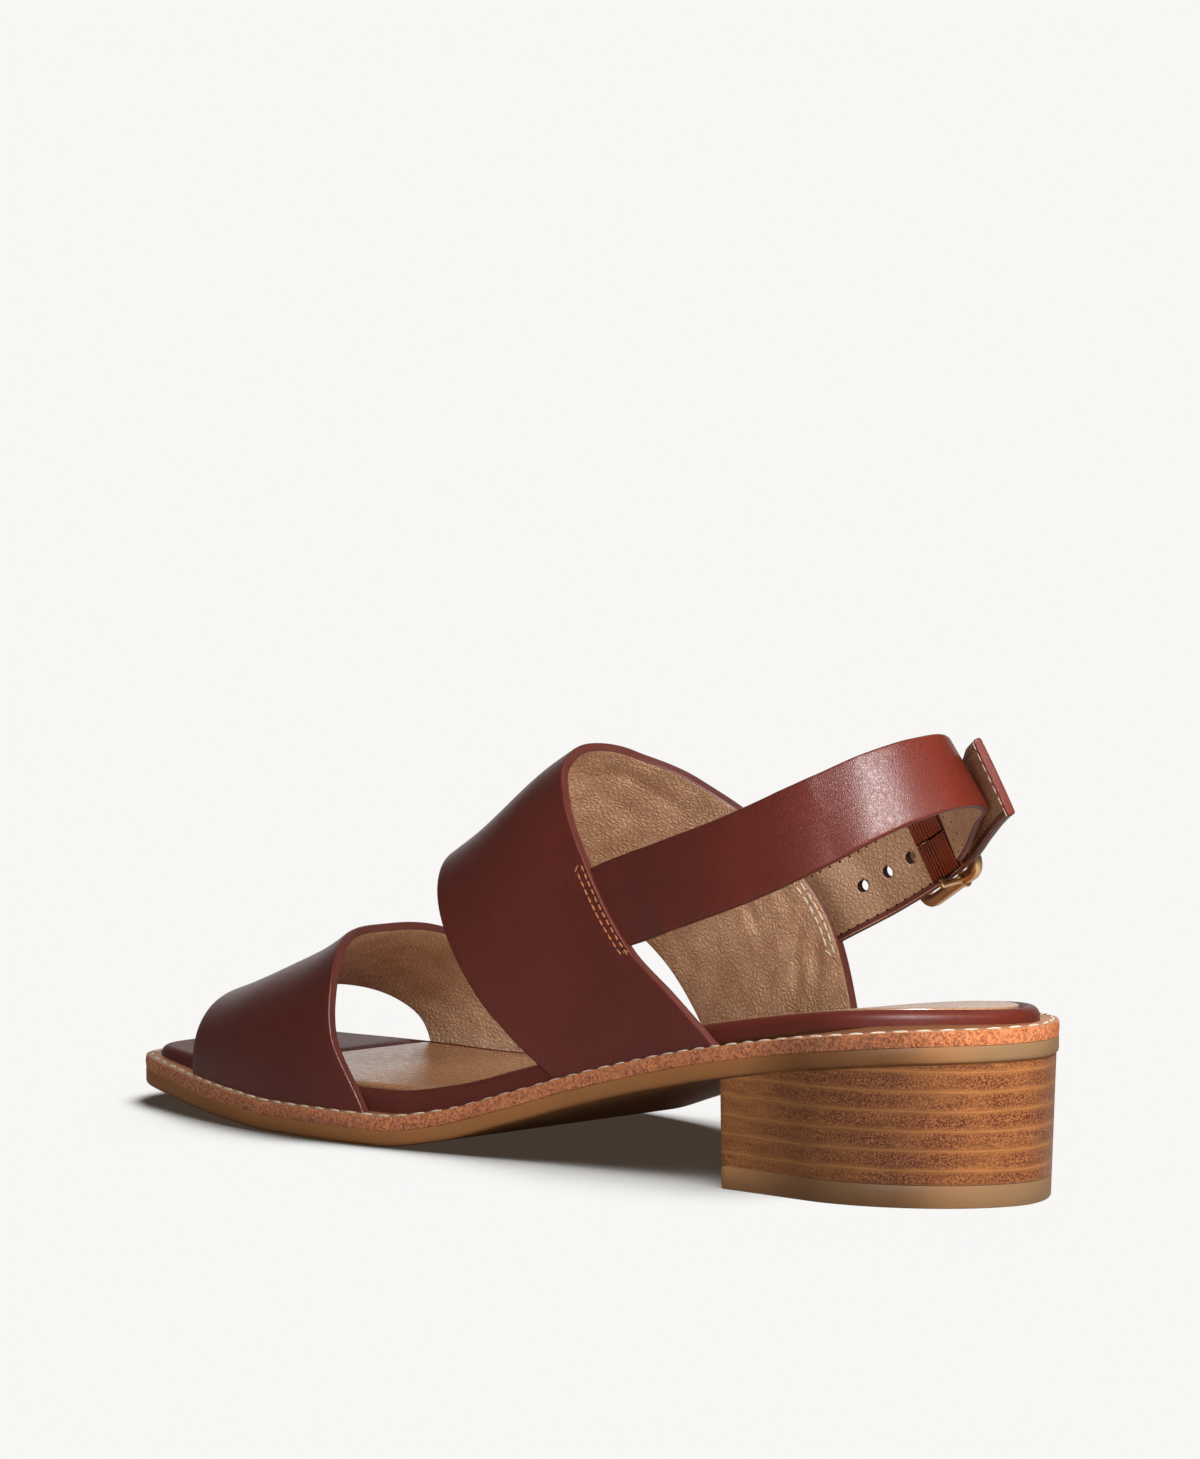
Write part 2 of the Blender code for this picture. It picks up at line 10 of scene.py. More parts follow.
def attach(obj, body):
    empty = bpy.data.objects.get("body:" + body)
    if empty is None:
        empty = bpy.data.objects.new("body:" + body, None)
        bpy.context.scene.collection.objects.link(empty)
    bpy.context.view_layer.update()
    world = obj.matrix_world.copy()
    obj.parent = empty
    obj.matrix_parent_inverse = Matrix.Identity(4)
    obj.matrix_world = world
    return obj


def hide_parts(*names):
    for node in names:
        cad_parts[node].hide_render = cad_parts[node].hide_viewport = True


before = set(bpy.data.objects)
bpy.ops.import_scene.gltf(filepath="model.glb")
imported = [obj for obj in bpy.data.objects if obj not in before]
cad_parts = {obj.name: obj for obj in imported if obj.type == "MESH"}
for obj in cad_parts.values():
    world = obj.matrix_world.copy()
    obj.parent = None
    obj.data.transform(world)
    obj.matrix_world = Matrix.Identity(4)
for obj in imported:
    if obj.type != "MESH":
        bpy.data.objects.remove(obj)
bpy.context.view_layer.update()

# View and studio: the sandal stands on a pale floor and is seen from its inner rear side, a little
# from above. A low lamp stands close behind the heel, a soft one beside the view with a second for the
# gloss, and a weak one overhead. A pale wall beyond the toe gives the grazing sheen.
VIEW_TURN = math.radians(44.7)
VIEW_LIFT = math.radians(3.8)
VIEW_DISTANCE = 1.15
VIEW_TARGET = Vector((-0.002055, 0.002, 0.087835))
VIEW_LENS = 135.0
WHITE = (0.939, 0.93, 0.913)
SHADOW = (0.055, 0.040, 0.030)
SHADOW_REACH = 0.05
SHADOW_OPEN = (-0.50, 0.45, 0.74)
SHADOW_FAINT = 0.82
SHADOW_DEEP_ARCH, SHADOW_DEEP_TOE = 0.20, 0.64
SHADOW_ARCH, SHADOW_TOE = -0.05, 0.05
SHADOW_HEEL_END, SHADOW_HEEL_START = -0.085, -0.062
FLOOR_BOUNCE = (0.58, 0.57, 0.56)
FLOOR_RADIUS = 2.0
SHEEN_WALL = (0.70, -0.71, 0.05)
SHEEN_WALL_COLOUR = (1.0, 0.985, 0.96, 1.0)
ROOM_GLOW, SHEEN_GLOW, HORIZON_GLOW = 0.11, 1.0, 0.08
HORIZON_LIFT = 0.14

towards_view = Vector((-math.sin(VIEW_TURN) * math.cos(VIEW_LIFT),
                       math.cos(VIEW_TURN) * math.cos(VIEW_LIFT), math.sin(VIEW_LIFT)))
view_right = Vector((-math.cos(VIEW_TURN), -math.sin(VIEW_TURN), 0.0))
view_up = towards_view.cross(view_right)
camera = bpy.data.objects.new("view", bpy.data.cameras.new("view"))
camera.data.lens = VIEW_LENS
camera.data.sensor_width = 36.0
camera.data.clip_start = 0.05
turned = Matrix((view_right, view_up, towards_view)).transposed().to_4x4()
camera.matrix_world = Matrix.Translation(VIEW_TARGET + towards_view * VIEW_DISTANCE) @ turned
bpy.context.scene.collection.objects.link(camera)
bpy.context.scene.camera = camera
bpy.context.scene.view_settings.view_transform = "Standard"


def node(tree, kind, inputs=None, **settings):
    """New node with its settings, and its inputs linked or set."""
    made = tree.nodes.new(kind)
    for name, value in settings.items():
        setattr(made, name, value)
    for name, value in (inputs or {}).items():
        if isinstance(value, bpy.types.NodeSocket):
            tree.links.new(value, made.inputs[name])
        else:
            made.inputs[name].default_value = value
    return made


def ramp(tree, value, low, high, to_low=0.0, to_high=1.0, soft=False):
    """Value mapped from one range to another, with clamped ends."""
    return node(tree, "ShaderNodeMapRange", {"Value": value, "From Min": low, "From Max": high,
                                             "To Min": to_low, "To Max": to_high},
                interpolation_type="SMOOTHSTEP" if soft else "LINEAR").outputs[0]


def sums(tree, operation, *values):
    """One arithmetic step on values or sockets."""
    return node(tree, "ShaderNodeMath", dict(enumerate(values)), operation=operation).outputs[0]


def blend(tree, factor, first, second):
    """Colour between two colours or sockets by a factor."""
    mix = node(tree, "ShaderNodeMix", {0: factor}, data_type="RGBA")
    for index, colour in ((6, first), (7, second)):
        if isinstance(colour, bpy.types.NodeSocket):
            tree.links.new(colour, mix.inputs[index])
        else:
            mix.inputs[index].default_value = (*colour, 1.0)
    return mix.outputs[2]


def own_place(tree):
    """Place on the piece itself, in metres."""
    return node(tree, "ShaderNodeTexCoord").outputs["Object"]


def own_axis(tree, name):
    """One coordinate of the place on the piece."""
    return node(tree, "ShaderNodeSeparateXYZ", {0: own_place(tree)}).outputs[name]


studio = bpy.data.worlds.new("studio")
bpy.context.scene.world = studio
studio.use_nodes = True
tree = studio.node_tree
tree.nodes.clear()
direction = node(tree, "ShaderNodeTexCoord").outputs["Generated"]
beyond = node(tree, "ShaderNodeVectorMath", {0: direction, 1: SHEEN_WALL}, operation="DOT_PRODUCT")
wall = ramp(tree, beyond.outputs["Value"], 0.8, 0.99, ROOM_GLOW, SHEEN_GLOW)
lift = node(tree, "ShaderNodeSeparateXYZ", {0: direction}).outputs["Z"]
wall = sums(tree, "ADD", wall, ramp(tree, lift, 0.0, HORIZON_LIFT, HORIZON_GLOW, 0.0, soft=True))
dim = node(tree, "ShaderNodeBackground", {"Color": SHEEN_WALL_COLOUR, "Strength": wall})
bright = node(tree, "ShaderNodeBackground", {"Color": (*WHITE, 1.0), "Strength": 1.0})
seen = node(tree, "ShaderNodeLightPath").outputs["Is Camera Ray"]
both = node(tree, "ShaderNodeMixShader", {0: seen, 1: dim.outputs[0], 2: bright.outputs[0]})
node(tree, "ShaderNodeOutputWorld", {"Surface": both.outputs[0]})

floor_mesh = bpy.data.meshes.new("floor")
shape = bmesh.new()
bmesh.ops.create_circle(shape, cap_ends=True, segments=96, radius=FLOOR_RADIUS)
shape.to_mesh(floor_mesh)
shape.free()
floor = bpy.data.objects.new("floor", floor_mesh)
bpy.context.scene.collection.objects.link(floor)
floor_look = bpy.data.materials.new("floor_paper")
floor_look.use_nodes = True
tree = floor_look.node_tree
tree.nodes.clear()
# Painted shadow: the paper darkens where the sandal hides the open sky round a point, by an amount set along
# the sandal and none round the heel; the floor's bounce light darkens the same way.
open_sky = node(tree, "ShaderNodeAmbientOcclusion", {"Distance": SHADOW_REACH, "Normal": SHADOW_OPEN},
                samples=16)
along = own_axis(tree, "X")
deep = ramp(tree, along, SHADOW_ARCH, SHADOW_TOE, SHADOW_DEEP_ARCH, SHADOW_DEEP_TOE)
near = ramp(tree, open_sky.outputs["AO"], SHADOW_FAINT, deep)
near = sums(tree, "MULTIPLY", near, ramp(tree, along, SHADOW_HEEL_END, SHADOW_HEEL_START))
paper = node(tree, "ShaderNodeEmission", {"Color": blend(tree, near, WHITE, SHADOW)})
bounce = node(tree, "ShaderNodeBsdfDiffuse", {"Color": blend(tree, near, FLOOR_BOUNCE, SHADOW)})
seen = node(tree, "ShaderNodeLightPath").outputs["Is Camera Ray"]
either = node(tree, "ShaderNodeMixShader", {0: seen, 1: bounce.outputs[0], 2: paper.outputs[0]})
node(tree, "ShaderNodeOutputMaterial", {"Surface": either.outputs[0]})
floor_mesh.materials.append(floor_look)


LIT_POINT = Vector((0.0, 0.0, 0.05))


def soft_light(name, direction, distance, size, strength, mirrored=True, lights=True, shades=True):
    """Square soft light that faces the sandal; its strength is the brightness of white paper turned to it."""
    lamp = bpy.data.lights.new(name, "AREA")
    lamp.shape = "RECTANGLE"
    lamp.size = lamp.size_y = size
    lamp.energy = strength * (math.pi * distance) ** 2
    lamp.use_shadow = shades
    made = bpy.data.objects.new(name, lamp)
    away = Vector(direction).normalized()
    facing = (-away).to_track_quat("-Z", "Y").to_matrix().to_4x4()
    made.matrix_world = Matrix.Translation(away * distance + LIT_POINT) @ facing
    made.visible_glossy = mirrored
    made.visible_diffuse = lights
    bpy.context.scene.collection.objects.link(made)


BESIDE_VIEW = (-0.34, 0.78, 0.52)
soft_light("heel_light", (-0.30, 0.08, 0.14), distance=0.341, size=0.12, strength=1.16, mirrored=False,
           shades=False)
soft_light("overhead_light", (0.10, -0.30, 0.95), distance=3.0, size=2.2, strength=0.22)
soft_light("side_light", BESIDE_VIEW, distance=3.0, size=0.9, strength=0.23, mirrored=False)
soft_light("sheen_light", BESIDE_VIEW, distance=3.0, size=0.7, strength=2.4, lights=False)

# Outsole: a sheet of gum rubber cut to the sole's outline, bent over the arch and sprung at the toe.
# It is glued under the welt, and its lower edge is slightly rounded.
MM = 0.001
GAP = 0.3
LENGTH = 245.0
OUTSOLE_THICK = 3.05
HEEL_ROUND, HEEL_POWER = 36.0, 1.8
TOE_ROUND, TOE_POWER = 20.0, 6.0
Section = namedtuple("Section", "along inner outer under rim ledge")
SOLE = (
    Section(0, 28.4, 27.4, 29.0, 2.7, 3.9),
    Section(12, 28.4, 27.6, 28.5, 2.9, 4.0),
    Section(30, 28.4, 28.2, 26.8, 3.4, 4.0),
    Section(62, 28.2, 29.6, 21.8, 4.0, 4.1),
    Section(80, 27.7, 31.1, 18.0, 4.4, 4.1),
    Section(100, 28.2, 33.2, 12.9, 4.5, 4.1),
    Section(120, 30.4, 36.1, 6.9, 4.6, 4.1),
    Section(136, 33.0, 38.8, 2.3, 4.7, 4.1),
    Section(152, 35.8, 40.6, 0.0, 4.7, 4.1),
    Section(170, 37.2, 41.2, 0.0, 4.6, 4.1),
    Section(184, 36.8, 40.8, 0.0, 4.4, 4.1),
    Section(200, 34.7, 38.9, 0.8, 4.0, 4.1),
    Section(215, 31.2, 35.7, 1.8, 3.4, 4.1),
    Section(230, 26.6, 30.6, 3.0, 2.6, 3.4),
    Section(245, 22.6, 24.6, 4.4, 2.0, 3.0),
)
CENTRE_ALONG = LENGTH / 2
CENTRE_ACROSS = (max(s.inner for s in SOLE) - max(s.outer for s in SOLE)) / 2
OUTLINE_STEPS = 170
CAP_STEPS = 14
TIP_PASSES = 12
# Painted shade along the middle of the heel's side: where it fades out toward the breast and toward the back,
# in metres along the sandal.
HEEL_SHADE_FRONT, HEEL_SHADE_BACK = (-0.086, -0.064), (-0.104, -0.119)
# Painted sheen on the gum: a paler olive toward the back of the heel, in metres along the sandal.
PAINTED_SHEEN_BACK = (-0.108, -0.122)
PAINTED_SHEEN_GUM = (0.20, 0.115, 0.056)


def eased(t, step, first, last, first_slope, last_slope):
    """Cubic between two values with their slopes, a share t of the way over a step."""
    start = (1 + 2 * t) * (1 - t) ** 2 * first + t * (1 - t) ** 2 * step * first_slope
    end = t * t * (3 - 2 * t) * last + t * t * (t - 1) * step * last_slope
    return start + end


def smooth(places, values):
    """Monotone cubic through a short table."""
    x = np.array(places, float)
    y = np.array(values, float)
    step = np.diff(x)
    rise = np.diff(y) / step
    slope = np.concatenate([[rise[0]], np.zeros(len(x) - 2), [rise[-1]]])
    for i in range(1, len(x) - 1):
        if rise[i - 1] * rise[i] > 0:
            before, after = 2 * step[i] + step[i - 1], step[i] + 2 * step[i - 1]
            slope[i] = (before + after) / (before / rise[i - 1] + after / rise[i])

    def value(at):
        at = np.clip(np.asarray(at, float), x[0], x[-1])
        i = np.clip(np.searchsorted(x, at, side="right") - 1, 0, len(step) - 1)
        return eased((at - x[i]) / step[i], step[i], y[i], y[i + 1], slope[i], slope[i + 1])

    return value


def column(table, name):
    return smooth([row[0] for row in table], [getattr(row, name) for row in table])


inner_half = column(SOLE, "inner")
outer_half = column(SOLE, "outer")
under = column(SOLE, "under")


def sides(along, inset):
    """Inner and outer side of the sole's outline, drawn in by the inset."""
    heel = np.clip((HEEL_ROUND - along) / (HEEL_ROUND - inset), 0, 1)
    toe = np.clip((along - LENGTH + TOE_ROUND) / (TOE_ROUND - inset), 0, 1)
    share = (1 - heel ** HEEL_POWER) ** (1 / HEEL_POWER) * (1 - toe ** TOE_POWER) ** (1 / TOE_POWER)
    return (inner_half(along) - inset) * share, -(outer_half(along) - inset) * share


def at_place(value, along):
    """A number, or a function of the place along the sole, at each place."""
    along = np.asarray(along, float)
    return value(along) if callable(value) else value + 0.0 * along


def in_metres(points):
    """From heel-based millimetres to the sandal's own frame in metres."""
    return (np.asarray(points, float) - (CENTRE_ALONG, CENTRE_ACROSS, 0.0)) * MM


def piece(name, points, faces, zones, looks, sharp=40.0):
    """Mesh object from points in millimetres, with one material for each zone of faces."""
    mesh = bpy.data.meshes.new(name)
    mesh.from_pydata(in_metres(points).tolist(), [], faces)
    for look in looks:
        mesh.materials.append(look)
    mesh.polygons.foreach_set("material_index", zones)
    tidy = bmesh.new()
    tidy.from_mesh(mesh)
    bmesh.ops.remove_doubles(tidy, verts=tidy.verts, dist=0.000002)
    bmesh.ops.dissolve_degenerate(tidy, edges=tidy.edges, dist=0.000001)
    bmesh.ops.recalc_face_normals(tidy, faces=tidy.faces)
    if tidy.calc_volume(signed=True) < 0:
        bmesh.ops.reverse_faces(tidy, faces=tidy.faces)
    tidy.to_mesh(mesh)
    tidy.free()
    mesh.shade_smooth()
    mesh.set_sharp_from_angle(angle=math.radians(sharp))
    made = bpy.data.objects.new(name, mesh)
    bpy.context.scene.collection.objects.link(made)
    return made


def outline_skin(name, loops, count, zones, looks):
    """Closed skin over loops of an outline, whose two sides have the same count of points, with both caps."""
    size = len(loops[0])
    points = [tuple(p) for loop in loops for p in loop]
    faces, face_zones = [], []
    for k in range(len(loops) - 1):
        for j in range(size):
            n = (j + 1) % size
            faces.append((k * size + j, k * size + n, (k + 1) * size + n, (k + 1) * size + j))
            face_zones.append(zones[k])
    for base in (0, (len(loops) - 1) * size):
        rows = []
        for i in range(count):
            first, last = base + i, base + (size - i) % size
            row = [first]
            if first != last:
                a, b = np.array(points[first]), np.array(points[last])
                for share in np.linspace(0, 1, CAP_STEPS + 1)[1:-1]:
                    row.append(len(points))
                    points.append(tuple(a + (b - a) * share))
                row.append(last)
            rows.append(row)
        for a, b in zip(rows, rows[1:]):
            if len(a) == 1 or len(b) == 1:
                tip, line = (a[0], b) if len(a) == 1 else (b[0], a)
                faces += [(tip, line[j], line[j + 1]) for j in range(len(line) - 1)]
            else:
                faces += [(a[j], b[j], b[j + 1], a[j + 1]) for j in range(len(a) - 1)]
    face_zones += [0] * (len(faces) - len(face_zones))
    return piece(name, points, faces, face_zones, looks)


def layer(name, profile, low, high, looks, end=None, tip=None):
    """Layer of the sole: its outline up a profile of (inset, level, lift, zone), to the toe or a cut end."""
    loops = []
    for inset, level, lift, zone in profile:
        start, finish = 0.0, LENGTH
        for _ in range(TIP_PASSES):
            start, finish = at_place(inset, start), LENGTH - at_place(inset, finish)
        share = np.linspace(0, 1, OUTLINE_STEPS)
        if end is None:
            along = start + (finish - start) * (1 - np.cos(np.pi * share)) / 2
        else:
            along = start + (end - start) * (1 - np.cos(np.pi / 2 * share))
        inner, outer = sides(along, at_place(inset, along))
        height = low(along) + (high(along) - low(along)) * level + at_place(lift, along)
        both = [np.stack([along, side, height + (tip(along, side) if tip else 0.0)], 1)
                for side in (inner, outer)]
        loops.append(np.concatenate([both[0], both[1][-2:0:-1] if end is None else both[1][:0:-1]]))
    return outline_skin(name, loops, OUTLINE_STEPS, [p[3] for p in profile[1:]], looks)


def socket(group, name, kind, out=False, value=None):
    way = "OUTPUT" if out else "INPUT"
    made = group.interface.new_socket(name, in_out=way, socket_type="NodeSocket" + kind)
    if value is not None:
        made.default_value = value


def noise(tree, place, scale, detail, roughness=0.5):
    """Value of a noise at a place."""
    return node(tree, "ShaderNodeTexNoise", {"Vector": place, "Scale": scale, "Detail": detail,
                                             "Roughness": roughness}).outputs[0]


def blotch_group():
    """Slow change of tone over a surface, and finer specks: two values from 0 to 1."""
    group = bpy.data.node_groups.new("blotches", "ShaderNodeTree")
    socket(group, "Patch", "Float", value=0.02)
    socket(group, "Speck", "Float", value=0.001)
    socket(group, "Tone", "Float", out=True)
    socket(group, "Specks", "Float", out=True)
    given = node(group, "NodeGroupInput").outputs
    place = own_place(group)
    tone, specks = (ramp(group, noise(group, place, sums(group, "DIVIDE", 1.0, given[name]), 3.0), 0.3, 0.7)
                    for name in ("Patch", "Speck"))
    node(group, "NodeGroupOutput", {"Tone": tone, "Specks": specks})
    return group


blotches = blotch_group()


def heel_shade_group():
    """Painted shade round the heel, darker between its breast and its back: a share of the colour."""
    group = bpy.data.node_groups.new("painted_heel_shade", "ShaderNodeTree")
    socket(group, "Dark", "Float", value=0.6)
    socket(group, "Share", "Float", out=True)
    given = node(group, "NodeGroupInput").outputs
    along = own_axis(group, "X")
    front, back = (ramp(group, along, *run, soft=True) for run in (HEEL_SHADE_FRONT, HEEL_SHADE_BACK))
    clear = sums(group, "MAXIMUM", front, back)
    share = node(group, "ShaderNodeMapRange", {"Value": clear, "To Min": given["Dark"]}).outputs[0]
    node(group, "NodeGroupOutput", {"Share": share})
    return group


painted_heel_shade = heel_shade_group()


def material(name, roughness, metallic=0.0, specular=0.5):
    """Material with a Principled shader, and its tree and shader for further nodes."""
    look = bpy.data.materials.new(name)
    look.use_nodes = True
    shader = look.node_tree.nodes["Principled BSDF"]
    shader.inputs["Roughness"].default_value = roughness
    shader.inputs["Metallic"].default_value = metallic
    shader.inputs["Specular IOR Level"].default_value = specular
    return look, look.node_tree, shader


def set_colour(tree, shader, colour):
    tree.links.new(colour, shader.inputs["Base Color"])


def set_bump(tree, shader, height, distance):
    """Fine relief on a shader, its height from 0 to 1 being a distance in millimetres."""
    bump = node(tree, "ShaderNodeBump", {"Height": height, "Distance": distance * MM, "Strength": 1.0})
    tree.links.new(bump.outputs[0], shader.inputs["Normal"])


def cloudy(tree, patch, speck):
    """Blotches with their sizes in millimetres."""
    cloud = node(tree, "ShaderNodeGroup", node_tree=blotches)
    cloud.inputs["Patch"].default_value = patch * MM
    cloud.inputs["Speck"].default_value = speck * MM
    return cloud.outputs


def heel_shaded(tree, colour, dark):
    """Colour with the painted heel shade."""
    tone = node(tree, "ShaderNodeGroup", node_tree=painted_heel_shade)
    tone.inputs["Dark"].default_value = dark
    return blend(tree, tone.outputs["Share"], (0.0, 0.0, 0.0), colour)


def gum_rubber(name, dark, light):
    """Brown gum rubber: cloudy, with a fine matt skin, painted shade along the heel's side and a paler
    painted sheen at the back of the heel.
    """
    look, tree, shader = material(name, roughness=0.5, specular=0.1)
    cloud = cloudy(tree, 30.0, 0.6)
    colour = heel_shaded(tree, blend(tree, cloud["Tone"], dark, light), 0.38)
    painted_sheen = ramp(tree, own_axis(tree, "X"), *PAINTED_SHEEN_BACK, soft=True)
    set_colour(tree, shader, blend(tree, painted_sheen, colour, PAINTED_SHEEN_GUM))
    set_bump(tree, shader, cloud["Specks"], 0.012)
    return look


sole_gum = gum_rubber("sole_gum", (0.265, 0.108, 0.034), (0.315, 0.133, 0.044))
outsole_profile = [(0.9, 0, 0.0, 0), (0.35, 0, 0.10, 0), (0.1, 0, 0.35, 0), (0.0, 0, 0.9, 0),
                   (0.0, 1, -0.1, 0), (0.06, 1, -0.02, 0), (0.4, 1, 0.0, 0)]
outsole = layer("outsole_gum", outsole_profile, under, lambda s: under(s) + OUTSOLE_THICK + GAP, [sole_gum])
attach(outsole, "root")
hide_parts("outsole")

# Heel: a block of leather lifts glued in a stack, sanded and waxed so that each lift shows as a line.
# It stands under the seat of the outsole, and a rubber top piece under it meets the floor.
HEEL_BREAST = 59.5
HEEL_SET_IN = 1.2
HEEL_INSET = 0.5
HEEL_TAPER = 0.985
TOP_PIECE_THICK = 4.5
LIFT_THICK = 3.9
LIFT_FIRST = 7.8
LIFT_SWAY = 1.2
LIFT_BROWN, LIFT_TAN = (0.232, 0.088, 0.027), (0.31, 0.120, 0.037)
LIFT_MAROON = (0.086, 0.020, 0.011)
LIFT_GOLD, LIFT_GOLD_SHARE = (0.36, 0.165, 0.050), 0.42
WORN_FRONT, WORN_BACK, WORN_SHARE = 50.0, 25.0, 0.65
BREAST_ROUND = 0.4
HEEL_STEPS = 60


def heel_piece(name, levels, look):
    """Piece of the heel: its D-shaped outline at levels of (height, inset)."""
    top = HEEL_INSET + (HEEL_BREAST - HEEL_INSET) * (1 - np.cos(np.pi / 2 * np.linspace(0, 1, HEEL_STEPS)))
    inner, outer = sides(top, HEEL_INSET)
    foot = HEEL_SET_IN + top * (HEEL_BREAST - HEEL_SET_IN) / HEEL_BREAST
    loops = []
    for height, inset in levels:
        z = at_place(height, top)
        share = z / under(top)
        along = inset + (foot + (top - foot) * share) * (1 - 2 * inset / HEEL_BREAST)
        shrink = (HEEL_TAPER + (1 - HEEL_TAPER) * share) * (1 - inset / inner.max())
        both = []
        for side, sign in ((inner, 1), (outer, -1)):
            line = np.stack([along, side * shrink, z], 1)
            breast = [line[-1] - (0.3 * BREAST_ROUND, sign * 0.3 * BREAST_ROUND, 0.0),
                      line[-1] - (0.0, sign * BREAST_ROUND, 0.0)]
            line[-1, 0] -= BREAST_ROUND
            both.append(np.concatenate([line, breast]))
        loops.append(np.concatenate([both[0], both[1][:0:-1]]))
    return outline_skin(name, loops, HEEL_STEPS + 2, [0] * len(levels), [look])


def stacked_leather():
    """Sanded edges of leather lifts: maroon specks on gold-brown, a thin gold line at each lift, waxed, with
    painted shade along the middle of the heel's side.
    """
    look, tree, shader = material("stacked_leather_waxed", roughness=0.38, specular=0.12)
    place = own_place(tree)
    height = sums(tree, "MULTIPLY_ADD", noise(tree, place, 40.0, 2.0), LIFT_SWAY * MM, own_axis(tree, "Z"))
    height = sums(tree, "SUBTRACT", height, LIFT_FIRST * MM)
    lift = sums(tree, "FRACT", sums(tree, "DIVIDE", height, LIFT_THICK * MM))
    from_line = sums(tree, "ABSOLUTE", sums(tree, "SUBTRACT", lift, 0.07))
    line = ramp(tree, from_line, 0.012, 0.06, 1.0, 0.0, soft=True)
    core = sums(tree, "SUBTRACT", 1.0, sums(tree, "ABSOLUTE", sums(tree, "MULTIPLY_ADD", lift, 2.0, -1.15)))
    core = ramp(tree, core, 0.0, 0.55, 0.3, 1.0, soft=True)
    flat = node(tree, "ShaderNodeMapping", {"Vector": place, "Scale": (1.0, 1.0, 1.35)}).outputs[0]
    speck = ramp(tree, noise(tree, flat, 2600.0, 2.0, 0.6), 0.43, 0.54)
    cloud = ramp(tree, noise(tree, flat, 120.0, 3.0), 0.3, 0.6, 0.6, 1.0)
    run = [(at - CENTRE_ALONG) * MM for at in (WORN_FRONT, WORN_BACK)]
    worn = ramp(tree, own_axis(tree, "X"), *run, WORN_SHARE)
    speck = sums(tree, "MULTIPLY", sums(tree, "MULTIPLY", speck, core), sums(tree, "MULTIPLY", cloud, worn))
    drawn = node(tree, "ShaderNodeMapping", {"Vector": place, "Scale": (0.12, 0.12, 1.0)}).outputs[0]
    ground = blend(tree, ramp(tree, noise(tree, drawn, 1400.0, 2.0), 0.35, 0.65), LIFT_BROWN, LIFT_TAN)
    colour = blend(tree, speck, ground, LIFT_MAROON)
    colour = blend(tree, sums(tree, "MULTIPLY", line, LIFT_GOLD_SHARE), colour, LIFT_GOLD)
    # Painted shade: darker along the middle of the heel's side.
    set_colour(tree, shader, heel_shaded(tree, colour, 0.6))
    set_bump(tree, shader, sums(tree, "MULTIPLY_ADD", speck, -0.6, line), 0.015)
    return look


heel_floor = TOP_PIECE_THICK + GAP
heel_levels = [(lambda s, share=share: heel_floor + (under(s) - GAP - heel_floor) * share, 0.0)
               for share in np.linspace(0, 1, 9)]
heel_block = heel_piece("heel_stack", heel_levels, stacked_leather())
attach(heel_block, "root")
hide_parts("heel_block")

top_gum = gum_rubber("top_piece_gum", (0.24, 0.116, 0.045), (0.285, 0.144, 0.060))
top_levels = [(0.0, 0.5), (0.12, 0.15), (0.4, 0.0), (TOP_PIECE_THICK - 0.2, 0.0),
              (TOP_PIECE_THICK, 0.15)]
top_piece = heel_piece("heel_top_gum", top_levels, top_gum)
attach(top_piece, "root")
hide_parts("heel_top_piece")

# Welt: a strip of natural leather over the outsole, with a raw fibrous edge and a smooth top.
# A thick pale thread is stitched through it all round, just outside the bands.
WELT_THICK = 3.1
WELT_SEAM_INSET = 1.25


def welt_low(along):
    return under(along) + OUTSOLE_THICK + GAP


def welt_top(along):
    return welt_low(along) + WELT_THICK


def raw_edge():
    """Cut edge of natural leather: coarse fibres in tan and rust, with painted shade along the heel's side.
    """
    look, tree, shader = material("welt_raw_edge", roughness=0.85, specular=0.25)
    fibre = ramp(tree, noise(tree, own_place(tree), 1700.0, 4.0, 0.65), 0.40, 0.56)
    cloud = cloudy(tree, 14.0, 1.8)
    tan = blend(tree, cloud["Tone"], (0.57, 0.170, 0.054), (0.68, 0.228, 0.080))
    colour = blend(tree, fibre, (0.21, 0.052, 0.020), tan)
    colour = blend(tree, sums(tree, "MULTIPLY", cloud["Specks"], 0.4), colour, (0.52, 0.22, 0.10))
    # Painted shade along the heel's side.
    set_colour(tree, shader, heel_shaded(tree, colour, 0.50))
    set_bump(tree, shader, fibre, 0.10)
    return look


Coating = namedtuple("Coating", "dark light roughness specular patch speck depth")


def coated(name, coating):
    """Smooth or painted leather: slow blotches of tone and fine specks."""
    look, tree, shader = material(name, coating.roughness, specular=coating.specular)
    cloud = cloudy(tree, coating.patch, coating.speck)
    set_colour(tree, shader, blend(tree, cloud["Tone"], coating.dark, coating.light))
    set_bump(tree, shader, cloud["Specks"], coating.depth)
    return look


welt_face = coated("welt_grain_side", Coating(
    dark=(0.32, 0.125, 0.055), light=(0.42, 0.185, 0.090), roughness=0.55, specular=0.5,
    patch=12.0, speck=0.7, depth=0.03))
welt_profile = [(0.4, 0, 0.0, 0), (0.08, 0, 0.1, 1), (0.0, 0, 0.5, 1), (-0.12, 0.5, 0.0, 1),
                (0.0, 1, -0.5, 1), (0.1, 1, -0.12, 1), (0.4, 1, 0.02, 0)]
welt_profile += [(WELT_SEAM_INSET + off, 1, lift, 0)
                 for off, lift in ((-0.35, 0.0), (0.0, -0.18), (0.35, 0.0))]
welt_profile.append((2.2, 1, 0.0, 0))
welt = layer("welt_leather_strip", welt_profile, welt_low, welt_top, [welt_face, raw_edge()])
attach(welt, "root")
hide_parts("welt")


